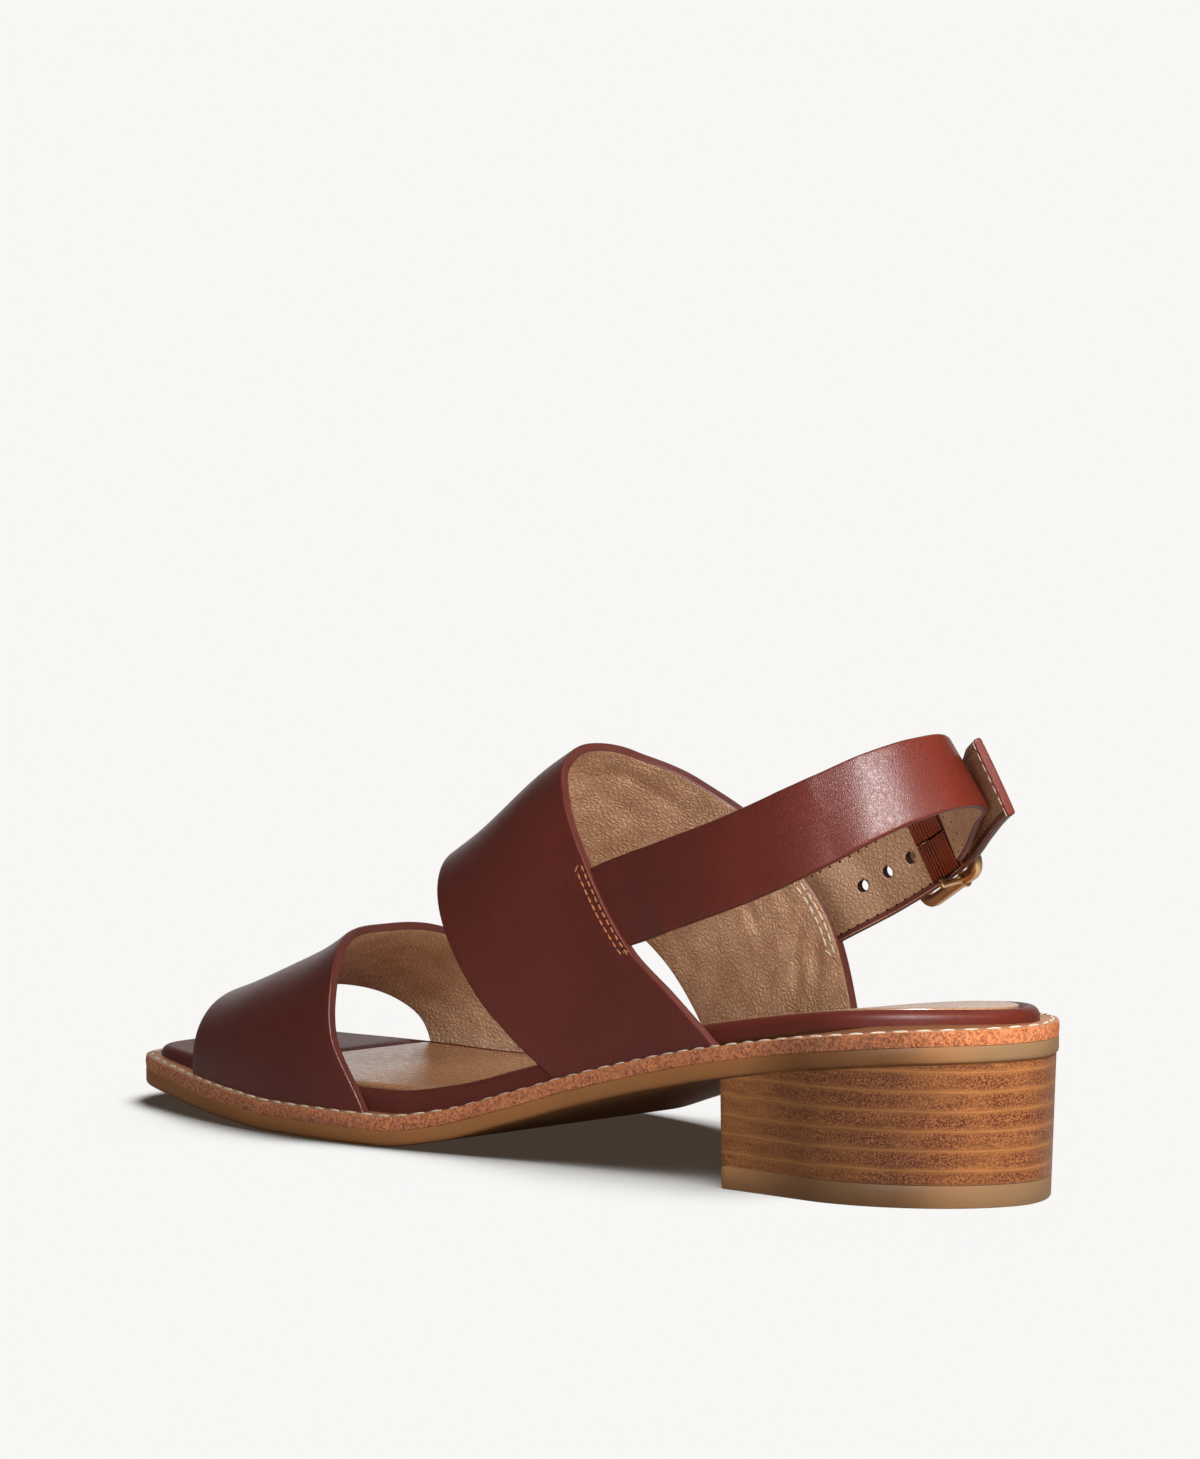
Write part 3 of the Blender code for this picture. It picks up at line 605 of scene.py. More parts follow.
def stitch_group():
    """Stitches along a path of edges: a rounded thread at each step, with a small random turn, or round bars
    that lie across the path."""
    group = bpy.data.node_groups.new("stitches", "GeometryNodeTree")
    socket(group, "Path", "Geometry")
    for name in ("Pitch", "Length", "Width", "Height", "Sway"):
        socket(group, name, "Float", value=0.001)
    socket(group, "Seed", "Int", value=1)
    socket(group, "Bar", "Bool", value=False)
    socket(group, "Thread", "Material")
    socket(group, "Stitches", "Geometry", out=True)
    given = node(group, "NodeGroupInput").outputs
    path = node(group, "GeometryNodeMeshToCurve", {"Mesh": given["Path"]}).outputs[0]
    dots = node(group, "GeometryNodeCurveToPoints", {"Curve": path, "Length": given["Pitch"]}, mode="LENGTH")
    facing = node(group, "GeometryNodeInputNamedAttribute", {"Name": "facing"}, data_type="FLOAT_VECTOR")
    lie = node(group, "FunctionNodeAxesToRotation", {"Primary Axis": dots.outputs["Tangent"],
                                                     "Secondary Axis": facing.outputs[0]},
               primary_axis="X", secondary_axis="Z").outputs[0]
    sway = node(group, "FunctionNodeRandomValue", {2: -1.0, 3: 1.0, "Seed": given["Seed"]}).outputs[1]
    turn = node(group, "ShaderNodeCombineXYZ", {"Z": sums(group, "MULTIPLY", sway, given["Sway"])}).outputs[0]
    turn = node(group, "FunctionNodeEulerToRotation", {0: turn}).outputs[0]
    lie = node(group, "FunctionNodeRotateRotation", {"Rotation": lie, "Rotate By": turn},
               rotation_space="LOCAL")
    quarter = math.pi / 2
    kinds = (("GeometryNodeMeshUVSphere", {"Segments": 8, "Rings": 6, "Radius": 0.5}, (0.0, quarter, 0.0)),
             ("GeometryNodeMeshCylinder", {"Vertices": 24, "Radius": 0.5, "Depth": 1.0}, (quarter, 0.0, 0.0)))
    choice = {0: given["Bar"]}
    for index, (kind, sizes, turned) in enumerate(kinds, 1):
        shape = node(group, kind, sizes).outputs["Mesh"]
        shape = node(group, "GeometryNodeTransform", {"Geometry": shape, "Rotation": turned})
        choice[index] = shape.outputs[0]
    thread = node(group, "GeometryNodeSwitch", choice, input_type="GEOMETRY").outputs[0]
    size = node(group, "ShaderNodeCombineXYZ",
                {"X": given["Length"], "Y": given["Width"], "Z": given["Height"]})
    laid = node(group, "GeometryNodeInstanceOnPoints",
                {"Points": dots.outputs["Points"], "Instance": thread, "Rotation": lie.outputs[0],
                 "Scale": size.outputs[0]}).outputs[0]
    real = node(group, "GeometryNodeRealizeInstances", {"Geometry": laid}).outputs[0]
    rounded = node(group, "GeometryNodeSetShadeSmooth", {"Geometry": real}).outputs[0]
    dressed = node(group, "GeometryNodeSetMaterial", {"Geometry": rounded, "Material": given["Thread"]})
    node(group, "NodeGroupOutput", {"Stitches": dressed.outputs[0]})
    return group


stitching = stitch_group()
Stitch = namedtuple("Stitch", "pitch length width height sway")
WELT_SEAM = Stitch(pitch=4.6, length=3.2, width=0.8, height=0.55, sway=0.14)
WELT_THREAD_LIFT = 0.05
PATH_STEP = 0.5


def walked(line):
    """Distance walked along a line to each of its points."""
    return np.concatenate([[0], np.cumsum(np.linalg.norm(np.diff(line, axis=0), axis=1))])


def at_steps(values, walk, steps):
    """Values along a line, read at steps of the distance walked."""
    return np.stack([np.interp(steps, walk, one) for one in values.T], 1)


def lay(name, lines, stitch, thread, seed=1, start=0.0, bar=False):
    """Stitches or bars along lines of (points in millimetres, facing directions), as one plain mesh."""
    points, edges, facing = [], [], []
    for line, normals in lines:
        line, normals = np.asarray(line, float), np.asarray(normals, float)
        walk = walked(line)
        steps = np.linspace(start, walk[-1], max(2, int(walk[-1] / PATH_STEP)))
        edges += [(len(points) + i, len(points) + i + 1) for i in range(len(steps) - 1)]
        points += in_metres(at_steps(line, walk, steps)).tolist()
        facing += at_steps(normals, walk, steps).tolist()
    mesh = bpy.data.meshes.new(name + "_path")
    mesh.from_pydata(points, edges, [])
    mesh.attributes.new("facing", "FLOAT_VECTOR", "POINT").data.foreach_set("vector", np.ravel(facing))
    holder = bpy.data.objects.new(name + "_path", mesh)
    bpy.context.scene.collection.objects.link(holder)
    modifier = holder.modifiers.new("stitches", "NODES")
    modifier.node_group = stitching
    values = {"Pitch": stitch.pitch * MM, "Length": stitch.length * MM, "Width": stitch.width * MM,
              "Height": stitch.height * MM, "Sway": stitch.sway, "Seed": seed, "Bar": bar, "Thread": thread}
    for item in stitching.interface.items_tree:
        if item.name in values:
            modifier[item.identifier] = values[item.name]
    result = bpy.data.meshes.new_from_object(holder.evaluated_get(bpy.context.evaluated_depsgraph_get()))
    bpy.data.objects.remove(holder)
    result.name = name
    made = bpy.data.objects.new(name, result)
    bpy.context.scene.collection.objects.link(made)
    return made


def sew(name, lines, stitch, thread, seed=1, start=0.0, bar=False):
    """Stitches that stay on the sandal."""
    made = lay(name, lines, stitch, thread, seed, start, bar)
    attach(made, "root")


PLY_SHADE = 0.62


def thread_look(name, colour):
    """Twisted thread: fine slanted plies."""
    look, tree, shader = material(name, roughness=0.7, specular=0.3)
    turned = node(tree, "ShaderNodeMapping", {"Vector": own_place(tree), "Rotation": (0.6, 0.5, 0.8)})
    ply = node(tree, "ShaderNodeTexWave", {"Vector": turned.outputs[0], "Scale": 900.0, "Distortion": 3.0,
                                           "Detail": 2.0}).outputs["Fac"]
    set_colour(tree, shader, blend(tree, ply, [PLY_SHADE * c for c in colour], colour))
    set_bump(tree, shader, ply, 0.04)
    return look


cream_thread = thread_look("cream_thread", (0.64, 0.55, 0.43))
share = (1 - np.cos(np.pi * np.linspace(0, 1, 260))) / 2
along = WELT_SEAM_INSET + (LENGTH - 2 * WELT_SEAM_INSET) * share
inner, outer = sides(along, WELT_SEAM_INSET)
seam = [np.stack([along, side, welt_top(along) + WELT_THREAD_LIFT], 1) for side in (inner, outer)]
seam = np.concatenate([seam[0], seam[1][-2:0:-1]])
sew("welt_stitches", [(seam, [(0, 0, 1)] * len(seam))], WELT_SEAM, cream_thread, seed=3)

# Insole: board wrapped in brown leather, with a rounded rim all round and a shallow seat for the sock.
# It lies on the welt between the feet of the bands, and its heel tips a little to the outer side.
SOCK_THICK = 0.8
SOCK_FRONT = 205.0
SOCK_INSET = 4.4
SEAT_DEPTH = 0.95
SEAT_RUN_ON = 5.0
SEAT_TIP = 0.040
SEAT_TIP_FADE = (30.0, 95.0)
RIM_ROUND = 2.0
RIM_WIDTH = 3.4
rim = column(SOLE, "rim")
ledge = column(SOLE, "ledge")


def grain_group():
    """Leather grain: soft pebbles parted by fine valleys, as a height and a mask of the valleys."""
    group = bpy.data.node_groups.new("leather_grain", "ShaderNodeTree")
    socket(group, "Pebble", "Float", value=0.0006)
    socket(group, "Height", "Float", out=True)
    socket(group, "Valley", "Float", out=True)
    given = node(group, "NodeGroupInput").outputs
    scale = sums(group, "DIVIDE", 1.0, given["Pebble"])
    scaled = node(group, "ShaderNodeVectorMath", {0: own_place(group), "Scale": scale}, operation="SCALE")
    scaled = scaled.outputs[0]
    bend = node(group, "ShaderNodeTexNoise", {"Vector": scaled, "Scale": 0.6, "Detail": 2.0}).outputs["Color"]
    bend = node(group, "ShaderNodeVectorMath", {0: bend, 1: (0.9, 0.9, 0.9), 2: scaled},
                operation="MULTIPLY_ADD").outputs[0]
    cell = node(group, "ShaderNodeTexVoronoi", {"Vector": bend, "Scale": 1.0}, feature="DISTANCE_TO_EDGE")
    pebble = ramp(group, cell.outputs["Distance"], 0.0, 0.30, soft=True)
    height = sums(group, "MULTIPLY_ADD", noise(group, scaled, 2.5, 3.0), 0.35, pebble)
    node(group, "NodeGroupOutput", {"Height": height, "Valley": sums(group, "SUBTRACT", 1.0, pebble)})
    return group


grain = grain_group()
Hide = namedtuple("Hide", "dark light valley pebble depth roughness patch valley_share specular")


def leather(name, hide):
    """Dyed leather: blotched tone, fine pebble grain, darker valleys."""
    look, tree, shader = material(name, hide.roughness, specular=hide.specular)
    cloud = cloudy(tree, hide.patch, hide.pebble * 1.7)
    pebbles = node(tree, "ShaderNodeGroup", node_tree=grain)
    pebbles.inputs["Pebble"].default_value = hide.pebble * MM
    tone = blend(tree, cloud["Tone"], hide.dark, hide.light)
    valley = sums(tree, "MULTIPLY", pebbles.outputs["Valley"], hide.valley_share)
    set_colour(tree, shader, blend(tree, valley, tone, hide.valley))
    rough = ramp(tree, cloud["Specks"], 0.0, 1.0, hide.roughness - 0.04, hide.roughness + 0.06)
    tree.links.new(rough, shader.inputs["Roughness"])
    set_bump(tree, shader, pebbles.outputs["Height"], hide.depth)
    return look


insole_brown = leather("insole_brown", Hide(
    dark=(0.092, 0.0140, 0.0078), light=(0.112, 0.0172, 0.0096), valley=(0.06, 0.009, 0.006), pebble=0.45,
    depth=0.010, roughness=0.42, patch=20.0, valley_share=0.3, specular=0.2))


def rim_inset(more):
    return lambda s: ledge(s) + more


def insole_low(along):
    return welt_top(along) + GAP


def insole_high(along):
    return insole_low(along) + rim(along)


def seat_tip(along, side):
    """Rise of the insole to the inner side, at the heel only."""
    return SEAT_TIP * side * np.interp(along, SEAT_TIP_FADE, (1.0, 0.0))


def seat_lift(along):
    """Drop of the seat under the rim, from the heel to just past the sock."""
    return -SEAT_DEPTH * np.clip((SOCK_FRONT + SEAT_RUN_ON - along) / 2.0, 0, 1)


insole_profile = [(rim_inset(0.0), 0, 0.0, 0)]
for angle in np.radians(np.linspace(0, 90, 8)):
    insole_profile.append((rim_inset(RIM_ROUND * (1 - math.cos(angle))), 1,
                           RIM_ROUND * (math.sin(angle) - 1), 0))
insole_profile += [(rim_inset(RIM_WIDTH - 0.6), 1, lambda s: 0.35 * seat_lift(s), 0),
                   (rim_inset(RIM_WIDTH), 1, seat_lift, 0), (rim_inset(SOCK_INSET + 2.0), 1, seat_lift, 0)]
insole = layer("insole_wrapped", insole_profile, insole_low, insole_high, [insole_brown], tip=seat_tip)
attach(insole, "root")
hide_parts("insole")

# Sock: a thin sheet of tan lining leather glued in the insole's seat, from the heel to the ball.
# Its grain is faint and polished, and its edge is cut clean.
sock_tan = leather("sock_tan", Hide(
    dark=(0.32, 0.150, 0.066), light=(0.375, 0.183, 0.084), valley=(0.24, 0.10, 0.042), pebble=0.8,
    depth=0.004, roughness=0.27, patch=30.0, valley_share=0.0, specular=0.6))


def sock_low(along):
    return insole_high(along) - SEAT_DEPTH + GAP


sock_profile = [(rim_inset(SOCK_INSET), 0, 0.0, 0), (rim_inset(SOCK_INSET), 1, -0.25, 0),
                (rim_inset(SOCK_INSET + 0.1), 1, -0.08, 0), (rim_inset(SOCK_INSET + 0.35), 1, 0.0, 0)]
sock = layer("sock_leather_sheet", sock_profile, sock_low, lambda s: sock_low(s) + SOCK_THICK, [sock_tan],
             end=SOCK_FRONT, tip=seat_tip)
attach(sock, "root")
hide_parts("insole_sock")

# Toe band: smooth brown leather over a tan lining, lasted down to the welt on both sides.
# Its front and rear edges are closed and painted.
BAND_INSET = 1.7
WALL = 2.0
EDGE_REACH = 0.55
EDGE_POWER = 0.75
LEATHER_SHARE, LINING_SHARE = 0.34, 0.97
LastSection = namedtuple("LastSection", "along crest shift fullness")
LAST = (
    LastSection(50, 101.0, 6.0, 2.0),
    LastSection(90, 96.5, 6.0, 2.0),
    LastSection(105, 92.0, 6.0, 2.0),
    LastSection(125, 82.3, 6.0, 2.02),
    LastSection(145, 67.2, 5.6, 2.07),
    LastSection(165, 54.6, 5.0, 2.15),
    LastSection(187, 40.4, 3.2, 2.33),
    LastSection(200, 34.9, 2.5, 2.4),
    LastSection(215, 29.2, 2.0, 2.45),
    LastSection(230, 24.4, 1.5, 2.5),
)
Edge = namedtuple("Edge", "over rear front")
TOE_BAND = (
    Edge(0.0, 156.5, 218.6),
    Edge(0.1, 167.0, 219.2),
    Edge(0.2, 170.8, 220.0),
    Edge(0.3, 175.0, 221.3),
    Edge(0.4, 180.0, 222.3),
    Edge(0.5, 182.5, 222.0),
    Edge(0.65, 182.3, 217.5),
    Edge(0.8, 177.5, 212.8),
    Edge(0.9, 171.0, 209.6),
    Edge(1.0, 160.0, 208.0),
)
crest = column(LAST, "crest")
crest_shift = column(LAST, "shift")
fullness = column(LAST, "fullness")


def last_point(along, over):
    """Outer skin of the bands over the foot, from 0 at the inner welt to 1 at the outer."""
    along, over = np.broadcast_arrays(np.asarray(along, float), np.asarray(over, float))
    inner = inner_half(along) - BAND_INSET
    outer = outer_half(along) - BAND_INSET
    base = welt_top(along) + GAP
    power = 2 / fullness(along)
    across = np.cos(np.pi * over)
    up = np.abs(np.sin(np.pi * over))
    side = (inner - outer) / 2 + (inner + outer) / 2 * np.sign(across) * np.abs(across) ** power
    side = side + crest_shift(along) * up ** 2
    return np.stack([along, side, base + (crest(along) - base) * up ** power], axis=-1)


def last_normal(along, over):
    """Outward direction of the bands' skin."""
    along = np.asarray(along)
    ahead = last_point(along + 0.2, over) - last_point(along - 0.2, over)
    across = last_point(along, np.clip(over + 0.002, 0, 1)) - last_point(along, np.clip(over - 0.002, 0, 1))
    out = np.cross(across, ahead)
    return out / np.linalg.norm(out, axis=-1, keepdims=True)


arc = np.linspace(math.pi / 2, -math.pi / 2, 11)
edge_out = EDGE_REACH * np.clip(np.cos(arc), 0, 1) ** EDGE_POWER
edge_depth = (1 - np.sign(np.sin(arc)) * np.abs(np.sin(arc)) ** EDGE_POWER) / 2
edge_middle = (edge_depth[1:] + edge_depth[:-1]) / 2
edge_zones = [0 if share < LEATHER_SHARE else 2 if share > LINING_SHARE else 1 for share in edge_middle]


def wall_section(low, high, columns):
    """Section of a wall between two edges: places across, depths from 0 to 1, and the zones of its faces."""
    face = np.linspace(low + EDGE_REACH, high - EDGE_REACH, columns)
    across = np.concatenate([face, high - EDGE_REACH + edge_out[1:-1], face[::-1],
                             low + EDGE_REACH - edge_out[1:-1]])
    depth = np.concatenate([np.zeros(columns), edge_depth[1:-1], np.ones(columns), edge_depth[-2:0:-1]])
    zone = [0] * (columns - 1) + edge_zones + [2] * (columns - 1) + edge_zones[::-1]
    return across, depth, zone


def band_shell(edges, rows, columns, creases):
    """Closed wall of a band: one section for each step over the foot."""
    rear, front = column(edges, "rear"), column(edges, "front")
    loops = []
    for over in np.linspace(0, 1, rows):
        along, depth, zone = wall_section(rear(over), front(over), columns)
        overs = np.full(len(along), over)
        depth = depth * WALL + creases(along, over, depth)
        loops.append(last_point(along, overs) - last_normal(along, overs) * depth[:, None])
    return np.array(loops), zone


def loft(loops, zone, base=0, wrapped=0):
    """Points, faces and zones of a closed skin over loops of equal size, with its last rows in leather."""
    rows, size = loops.shape[:2]
    faces = [tuple(base + j for j in range(size)), tuple(base + (rows - 1) * size + j for j in range(size))]
    zones = [0 if wrapped else min(1, max(zone))] * 2
    for i in range(rows - 1):
        for j in range(size):
            n = (j + 1) % size
            faces.append((base + i * size + j, base + i * size + n, base + (i + 1) * size + n,
                          base + (i + 1) * size + j))
            zones.append(0 if i >= rows - 1 - wrapped else zone[j])
    return [tuple(p) for p in loops.reshape(-1, 3)], faces, zones


upper_brown = leather("upper_brown", Hide(
    dark=(0.108, 0.0160, 0.0086), light=(0.134, 0.0200, 0.0108), valley=(0.074, 0.0105, 0.006), pebble=0.42,
    depth=0.019, roughness=0.35, patch=20.0, valley_share=0.45, specular=0.3))
lining_tan = leather("lining_tan", Hide(
    dark=(0.55, 0.315, 0.182), light=(0.78, 0.50, 0.315), valley=(0.42, 0.22, 0.115), pebble=1.1,
    depth=0.11, roughness=0.55, patch=6.0, valley_share=0.40, specular=0.25))
painted_edge = coated("edge_paint", Coating(
    dark=(0.085, 0.022, 0.016), light=(0.12, 0.034, 0.026), roughness=0.4, specular=0.25,
    patch=15.0, speck=0.9, depth=0.02))
upper_looks = [upper_brown, painted_edge, lining_tan]
loops, zone = band_shell(TOE_BAND, rows=121, columns=34, creases=lambda along, over, depth: 0.0)
toe_band = piece("toe_band_leather", *loft(loops, zone), upper_looks)
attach(toe_band, "root")
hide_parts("toe_band")

# Instep band: the same leather and lining, higher over the foot, lasted down to the welt on both sides.
# The sling is sewn in under its inner rear edge and the buckled strap in its outer rear edge.
INSTEP_BAND = (
    Edge(0.0, 62.2, 107.4),
    Edge(0.05, 74.8, 119.0),
    Edge(0.1, 87.3, 128.0),
    Edge(0.2, 102.0, 139.5),
    Edge(0.3, 112.0, 146.7),
    Edge(0.4, 118.0, 151.5),
    Edge(0.5, 119.6, 154.5),
    Edge(0.6, 116.7, 154.0),
    Edge(0.7, 106.5, 150.0),
    Edge(0.8, 91.0, 141.4),
    Edge(0.9, 77.5, 129.0),
    Edge(1.0, 72.0, 116.5),
)
OVER_LENGTH = 150.0
Crease = namedtuple("Crease", "over_from along_from over_to along_to width depth")
LINING_CREASES = (
    Crease(0.80, 97.0, 0.865, 90.0, 1.4, -0.60),
    Crease(0.81, 101.0, 0.88, 96.0, 1.6, -0.50),
    Crease(0.845, 104.0, 0.90, 99.0, 1.3, -0.45),
    Crease(0.90, 84.0, 0.915, 92.0, 1.1, -0.60),
    Crease(0.905, 84.0, 0.925, 91.0, 1.0, 0.45),
    Crease(0.90, 82.0, 0.96, 84.0, 1.0, -0.55),
    Crease(0.91, 88.0, 0.97, 91.0, 1.1, -0.55),
    Crease(0.93, 96.0, 0.97, 104.0, 1.2, -0.60),
    Crease(0.60, 124.0, 0.68, 118.0, 1.8, -0.26),
    Crease(0.64, 130.0, 0.72, 124.0, 2.0, -0.26),
    Crease(0.66, 121.0, 0.73, 113.0, 1.6, -0.24),
)


def lining_crease(along, over, depth):
    """Listed soft troughs and ridges in the lining."""
    total = np.zeros(len(along))
    for c in LINING_CREASES:
        start = np.array([c.over_from * OVER_LENGTH, c.along_from])
        run = np.array([c.over_to * OVER_LENGTH, c.along_to]) - start
        place = np.stack([np.full(len(along), over * OVER_LENGTH), along], 1) - start
        t = np.clip(place @ run / (run @ run), 0, 1)
        off = np.linalg.norm(place - t[:, None] * run, axis=1)
        total += c.depth * np.exp(-(off / c.width) ** 2) * np.sin(np.pi * np.clip(t, 0.08, 0.92))
    return total * (depth > 0.99)


loops, zone = band_shell(INSTEP_BAND, rows=181, columns=44, creases=lining_crease)
points, faces, zones = loft(loops, zone)

# Sling: a strap of the same leather and lining that runs from under the instep band's inner edge round the
# heel to the elastic. It narrows toward the elastic, and its long edges are painted.
Place = namedtuple("Place", "along side height lean")
SLING_WIDTH, SLING_END_WIDTH = 18.6, 16.2
SLING_TAPER = (72.0, 104.0)
STRAP_THICK = 1.7
STRAP_CROWN = 0.12
END_ROUND = 0.4
STRAP_COLUMNS = 17
STRAP_STEPS = 170
WRAPPED_ROWS = 4
SLING_TUCK, TAB_TUCK = 1.25, 0.85
TUCK_START, TUCK_RUN = 15.0, 14.0
TUCK_THIN, TUCK_THIN_RUN = 0.7, 4.0
SLING = (
    Place(112.0, 24.4, 46.1, 8),
    Place(95.5, 23.4, 53.6, 8),
    Place(75.0, 24.4, 60.2, 7),
    Place(56.0, 24.2, 66.8, 8),
    Place(38.0, 20.5, 75.0, 12),
    Place(29.0, 15.5, 80.1, 19),
    Place(23.5, 9.0, 83.2, 26),
    Place(21.5, 1.5, 84.3, 31),
    Place(24.0, -5.5, 83.2, 31),
    Place(31.0, -12.5, 79.9, 26),
    Place(38.0, -19.0, 75.3, 18),
)
TAB = (
    Place(98.0, -28.6, 43.0, 8),
    Place(84.0, -27.2, 49.8, 8),
    Place(71.0, -27.6, 56.0, 8),
    Place(50.3, -27.7, 67.1, 10),
    Place(41.5, -25.0, 71.8, 12),
    Place(31.5, -18.0, 77.0, 17),
    Place(21.0, -8.5, 81.0, 24),
    Place(11.1, 0.9, 83.5, 25),
    Place(8.2, 4.0, 84.0, 25),
)
BUCKLE_PLACE = 3
BAR_DEPTH = -3.5
SLING_END = 8.2
SLING_END_LEAN = 10
instep_rear = column(INSTEP_BAND, "rear")


class StrapLine:
    """Middle line of a strap through its places, with the strap's directions at each distance."""

    def __init__(self, places, outer_side):
        self.outer_side = outer_side
        self.points = np.array([p[:3] for p in places], float)
        self.lean = np.array([p.lean for p in places], float)
        self.reach = walked(self.points)
        self.slope = np.gradient(self.points, self.reach, axis=0)

    def point(self, at):
        i = int(np.clip(np.searchsorted(self.reach, at) - 1, 0, len(self.reach) - 2))
        step = self.reach[i + 1] - self.reach[i]
        ends = (*self.points[i:i + 2], *self.slope[i:i + 2])
        return eased((at - self.reach[i]) / step, step, *ends)

    def directions(self, at):
        """Along, up and outward directions of the strap."""
        ahead = self.point(min(at + 0.5, self.reach[-1])) - self.point(max(at - 0.5, 0.0))
        ahead = ahead / np.linalg.norm(ahead)
        out = np.cross(ahead, (0, 0, 1)) * self.outer_side
        out = out / np.linalg.norm(out)
        upright = np.cross(out, ahead) * self.outer_side
        lean = math.radians(np.interp(at, self.reach, self.lean))
        up = upright * math.cos(lean) - out * math.sin(lean)
        return ahead, up, np.cross(ahead, up) * self.outer_side

    def place(self, at, across, outwards):
        """Point on or off the strap, across it from its middle line and outwards from its middle."""
        _, up, out = self.directions(at)
        return self.point(at) + up * across + out * outwards


def under_band(points, outer_side):
    """How deep points lie under the instep band's skin, and how far behind its rear edge."""
    along, side, height = points.T
    base = welt_top(along) + GAP
    rise = np.clip((height - base) / (crest(along) - base), 0, 1)
    over = np.arcsin(rise ** (fullness(along) / 2)) / np.pi
    over = over if outer_side > 0 else 1 - over
    depth = np.sum((last_point(along, over) - points) * last_normal(along, over), axis=1)
    return depth, instep_rear(over) - along


def tucked_in(middle, line, tuck):
    """Shift outwards of a strap where it runs into the band's wall, and its share of thickness there."""
    deep, behind = under_band(middle, line.outer_side)
    share = np.clip((TUCK_START - behind) / TUCK_RUN, 0, 1)
    thin = np.interp(behind, (0.0, TUCK_THIN_RUN), (TUCK_THIN, 1.0))
    return (deep - tuck) * share * share * (3 - 2 * share), thin


def strap_shell(line, width, tuck):
    """Closed skin of a strap: crowned face, close edges, square end, start tucked in the band's wall."""
    total = line.reach[-1]
    turns = np.linspace(0, math.pi / 2, 5)
    ats = np.concatenate([np.linspace(0, total - END_ROUND, STRAP_STEPS)[:-1],
                          total - END_ROUND * (1 - np.sin(turns))])
    insets = np.concatenate([np.zeros(STRAP_STEPS - 1), END_ROUND * (1 - np.cos(turns))])
    loops = []
    for at, inset in zip(ats, insets):
        half = width(at) / 2 - inset
        across, depth, zone = wall_section(-half, half, STRAP_COLUMNS)
        _, up, out = line.directions(at)
        middle = line.point(at) + np.outer(across, up)
        shift, thin = tucked_in(middle, line, tuck)
        crown = STRAP_CROWN * (1 - (across / half) ** 2) * (depth == 0)
        outwards = (0.5 - depth) * (STRAP_THICK - 2 * inset) + crown
        loops.append(middle + np.outer(shift + outwards * thin, out))
    return np.array(loops), zone


tab_line = StrapLine(TAB, -1)
buckle_at = tab_line.reach[BUCKLE_PLACE]
ahead, up, out = tab_line.directions(buckle_at)
sling_end = tab_line.point(buckle_at) + ahead * SLING_END + out * BAR_DEPTH
sling_line = StrapLine(SLING + (Place(*sling_end, SLING_END_LEAN),), 1)
loops, zone = strap_shell(sling_line, lambda at: np.interp(at, SLING_TAPER, (SLING_WIDTH, SLING_END_WIDTH)),
                          SLING_TUCK)
more = loft(loops, zone, len(points), WRAPPED_ROWS)
points, faces, zones = points + more[0], faces + more[1], zones + more[2]
upper = piece("instep_and_sling_leather", points, faces, zones, upper_looks)
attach(upper, "root")
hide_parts("instep_and_sling")


THREAD_LIFT = 0.04
SLING_SEAM_OVER, SLING_SEAM_ROWS = (0.098, 0.196), (1.2, 2.8)
WING_SEAM_OVER, WING_SEAM_ROWS = (0.835, 0.925), (1.8, 3.6)
SEAM = Stitch(1.95, 1.7, 0.5, 0.4, 0.05)
NEEDLE = Stitch(1.95, 0.55, 0.6, 0.14, 0.0)
WING_SEAM = Stitch(2.3, 2.0, 0.75, 0.5, 0.08)


def band_row(start, end, from_edge, inside):
    """Line on the instep band beside its rear edge, between two places over the foot, and its facing."""
    over = np.linspace(start, end, 60)
    along = instep_rear(over) + from_edge
    normal = last_normal(along, over)
    if inside:
        return last_point(along, over) - normal * (WALL + THREAD_LIFT), -normal
    return last_point(along, over) + normal * THREAD_LIFT, normal


def double_row(overs, rows, inside):
    """Two rows beside the rear edge that are joined at both ends."""
    (start, end), (near, far) = overs, rows
    there, back = band_row(start, end, near, inside), band_row(end, start, far, inside)
    return tuple(np.concatenate([a, b, a[:1]]) for a, b in zip(there, back))


orange_thread = thread_look("orange_thread", (0.46, 0.145, 0.048))
brown_thread = thread_look("brown_thread", (0.17, 0.035, 0.016))
# Painted shade in holes: the needle holes are near-black dots, and the punched holes' walls are near-black
# too.
needle_dark = material("needle_holes", roughness=0.8, specular=0.1)[0]
needle_shader = needle_dark.node_tree.nodes["Principled BSDF"]
needle_shader.inputs["Base Color"].default_value = (0.022, 0.006, 0.004, 1.0)
sling_seam = double_row(SLING_SEAM_OVER, SLING_SEAM_ROWS, False)
sew("sling_seam_stitches", [sling_seam], SEAM, orange_thread, seed=5)
sew("sling_seam_needle_holes", [sling_seam], NEEDLE, needle_dark, start=SEAM.pitch / 2)
wing_inside = double_row(WING_SEAM_OVER, WING_SEAM_ROWS, True)
sew("wing_seam_stitches_inside", [wing_inside], WING_SEAM, cream_thread, seed=7)
wing_outside = double_row(WING_SEAM_OVER, WING_SEAM_ROWS, False)
sew("wing_seam_stitches_outside", [wing_outside], SEAM, brown_thread, seed=9)

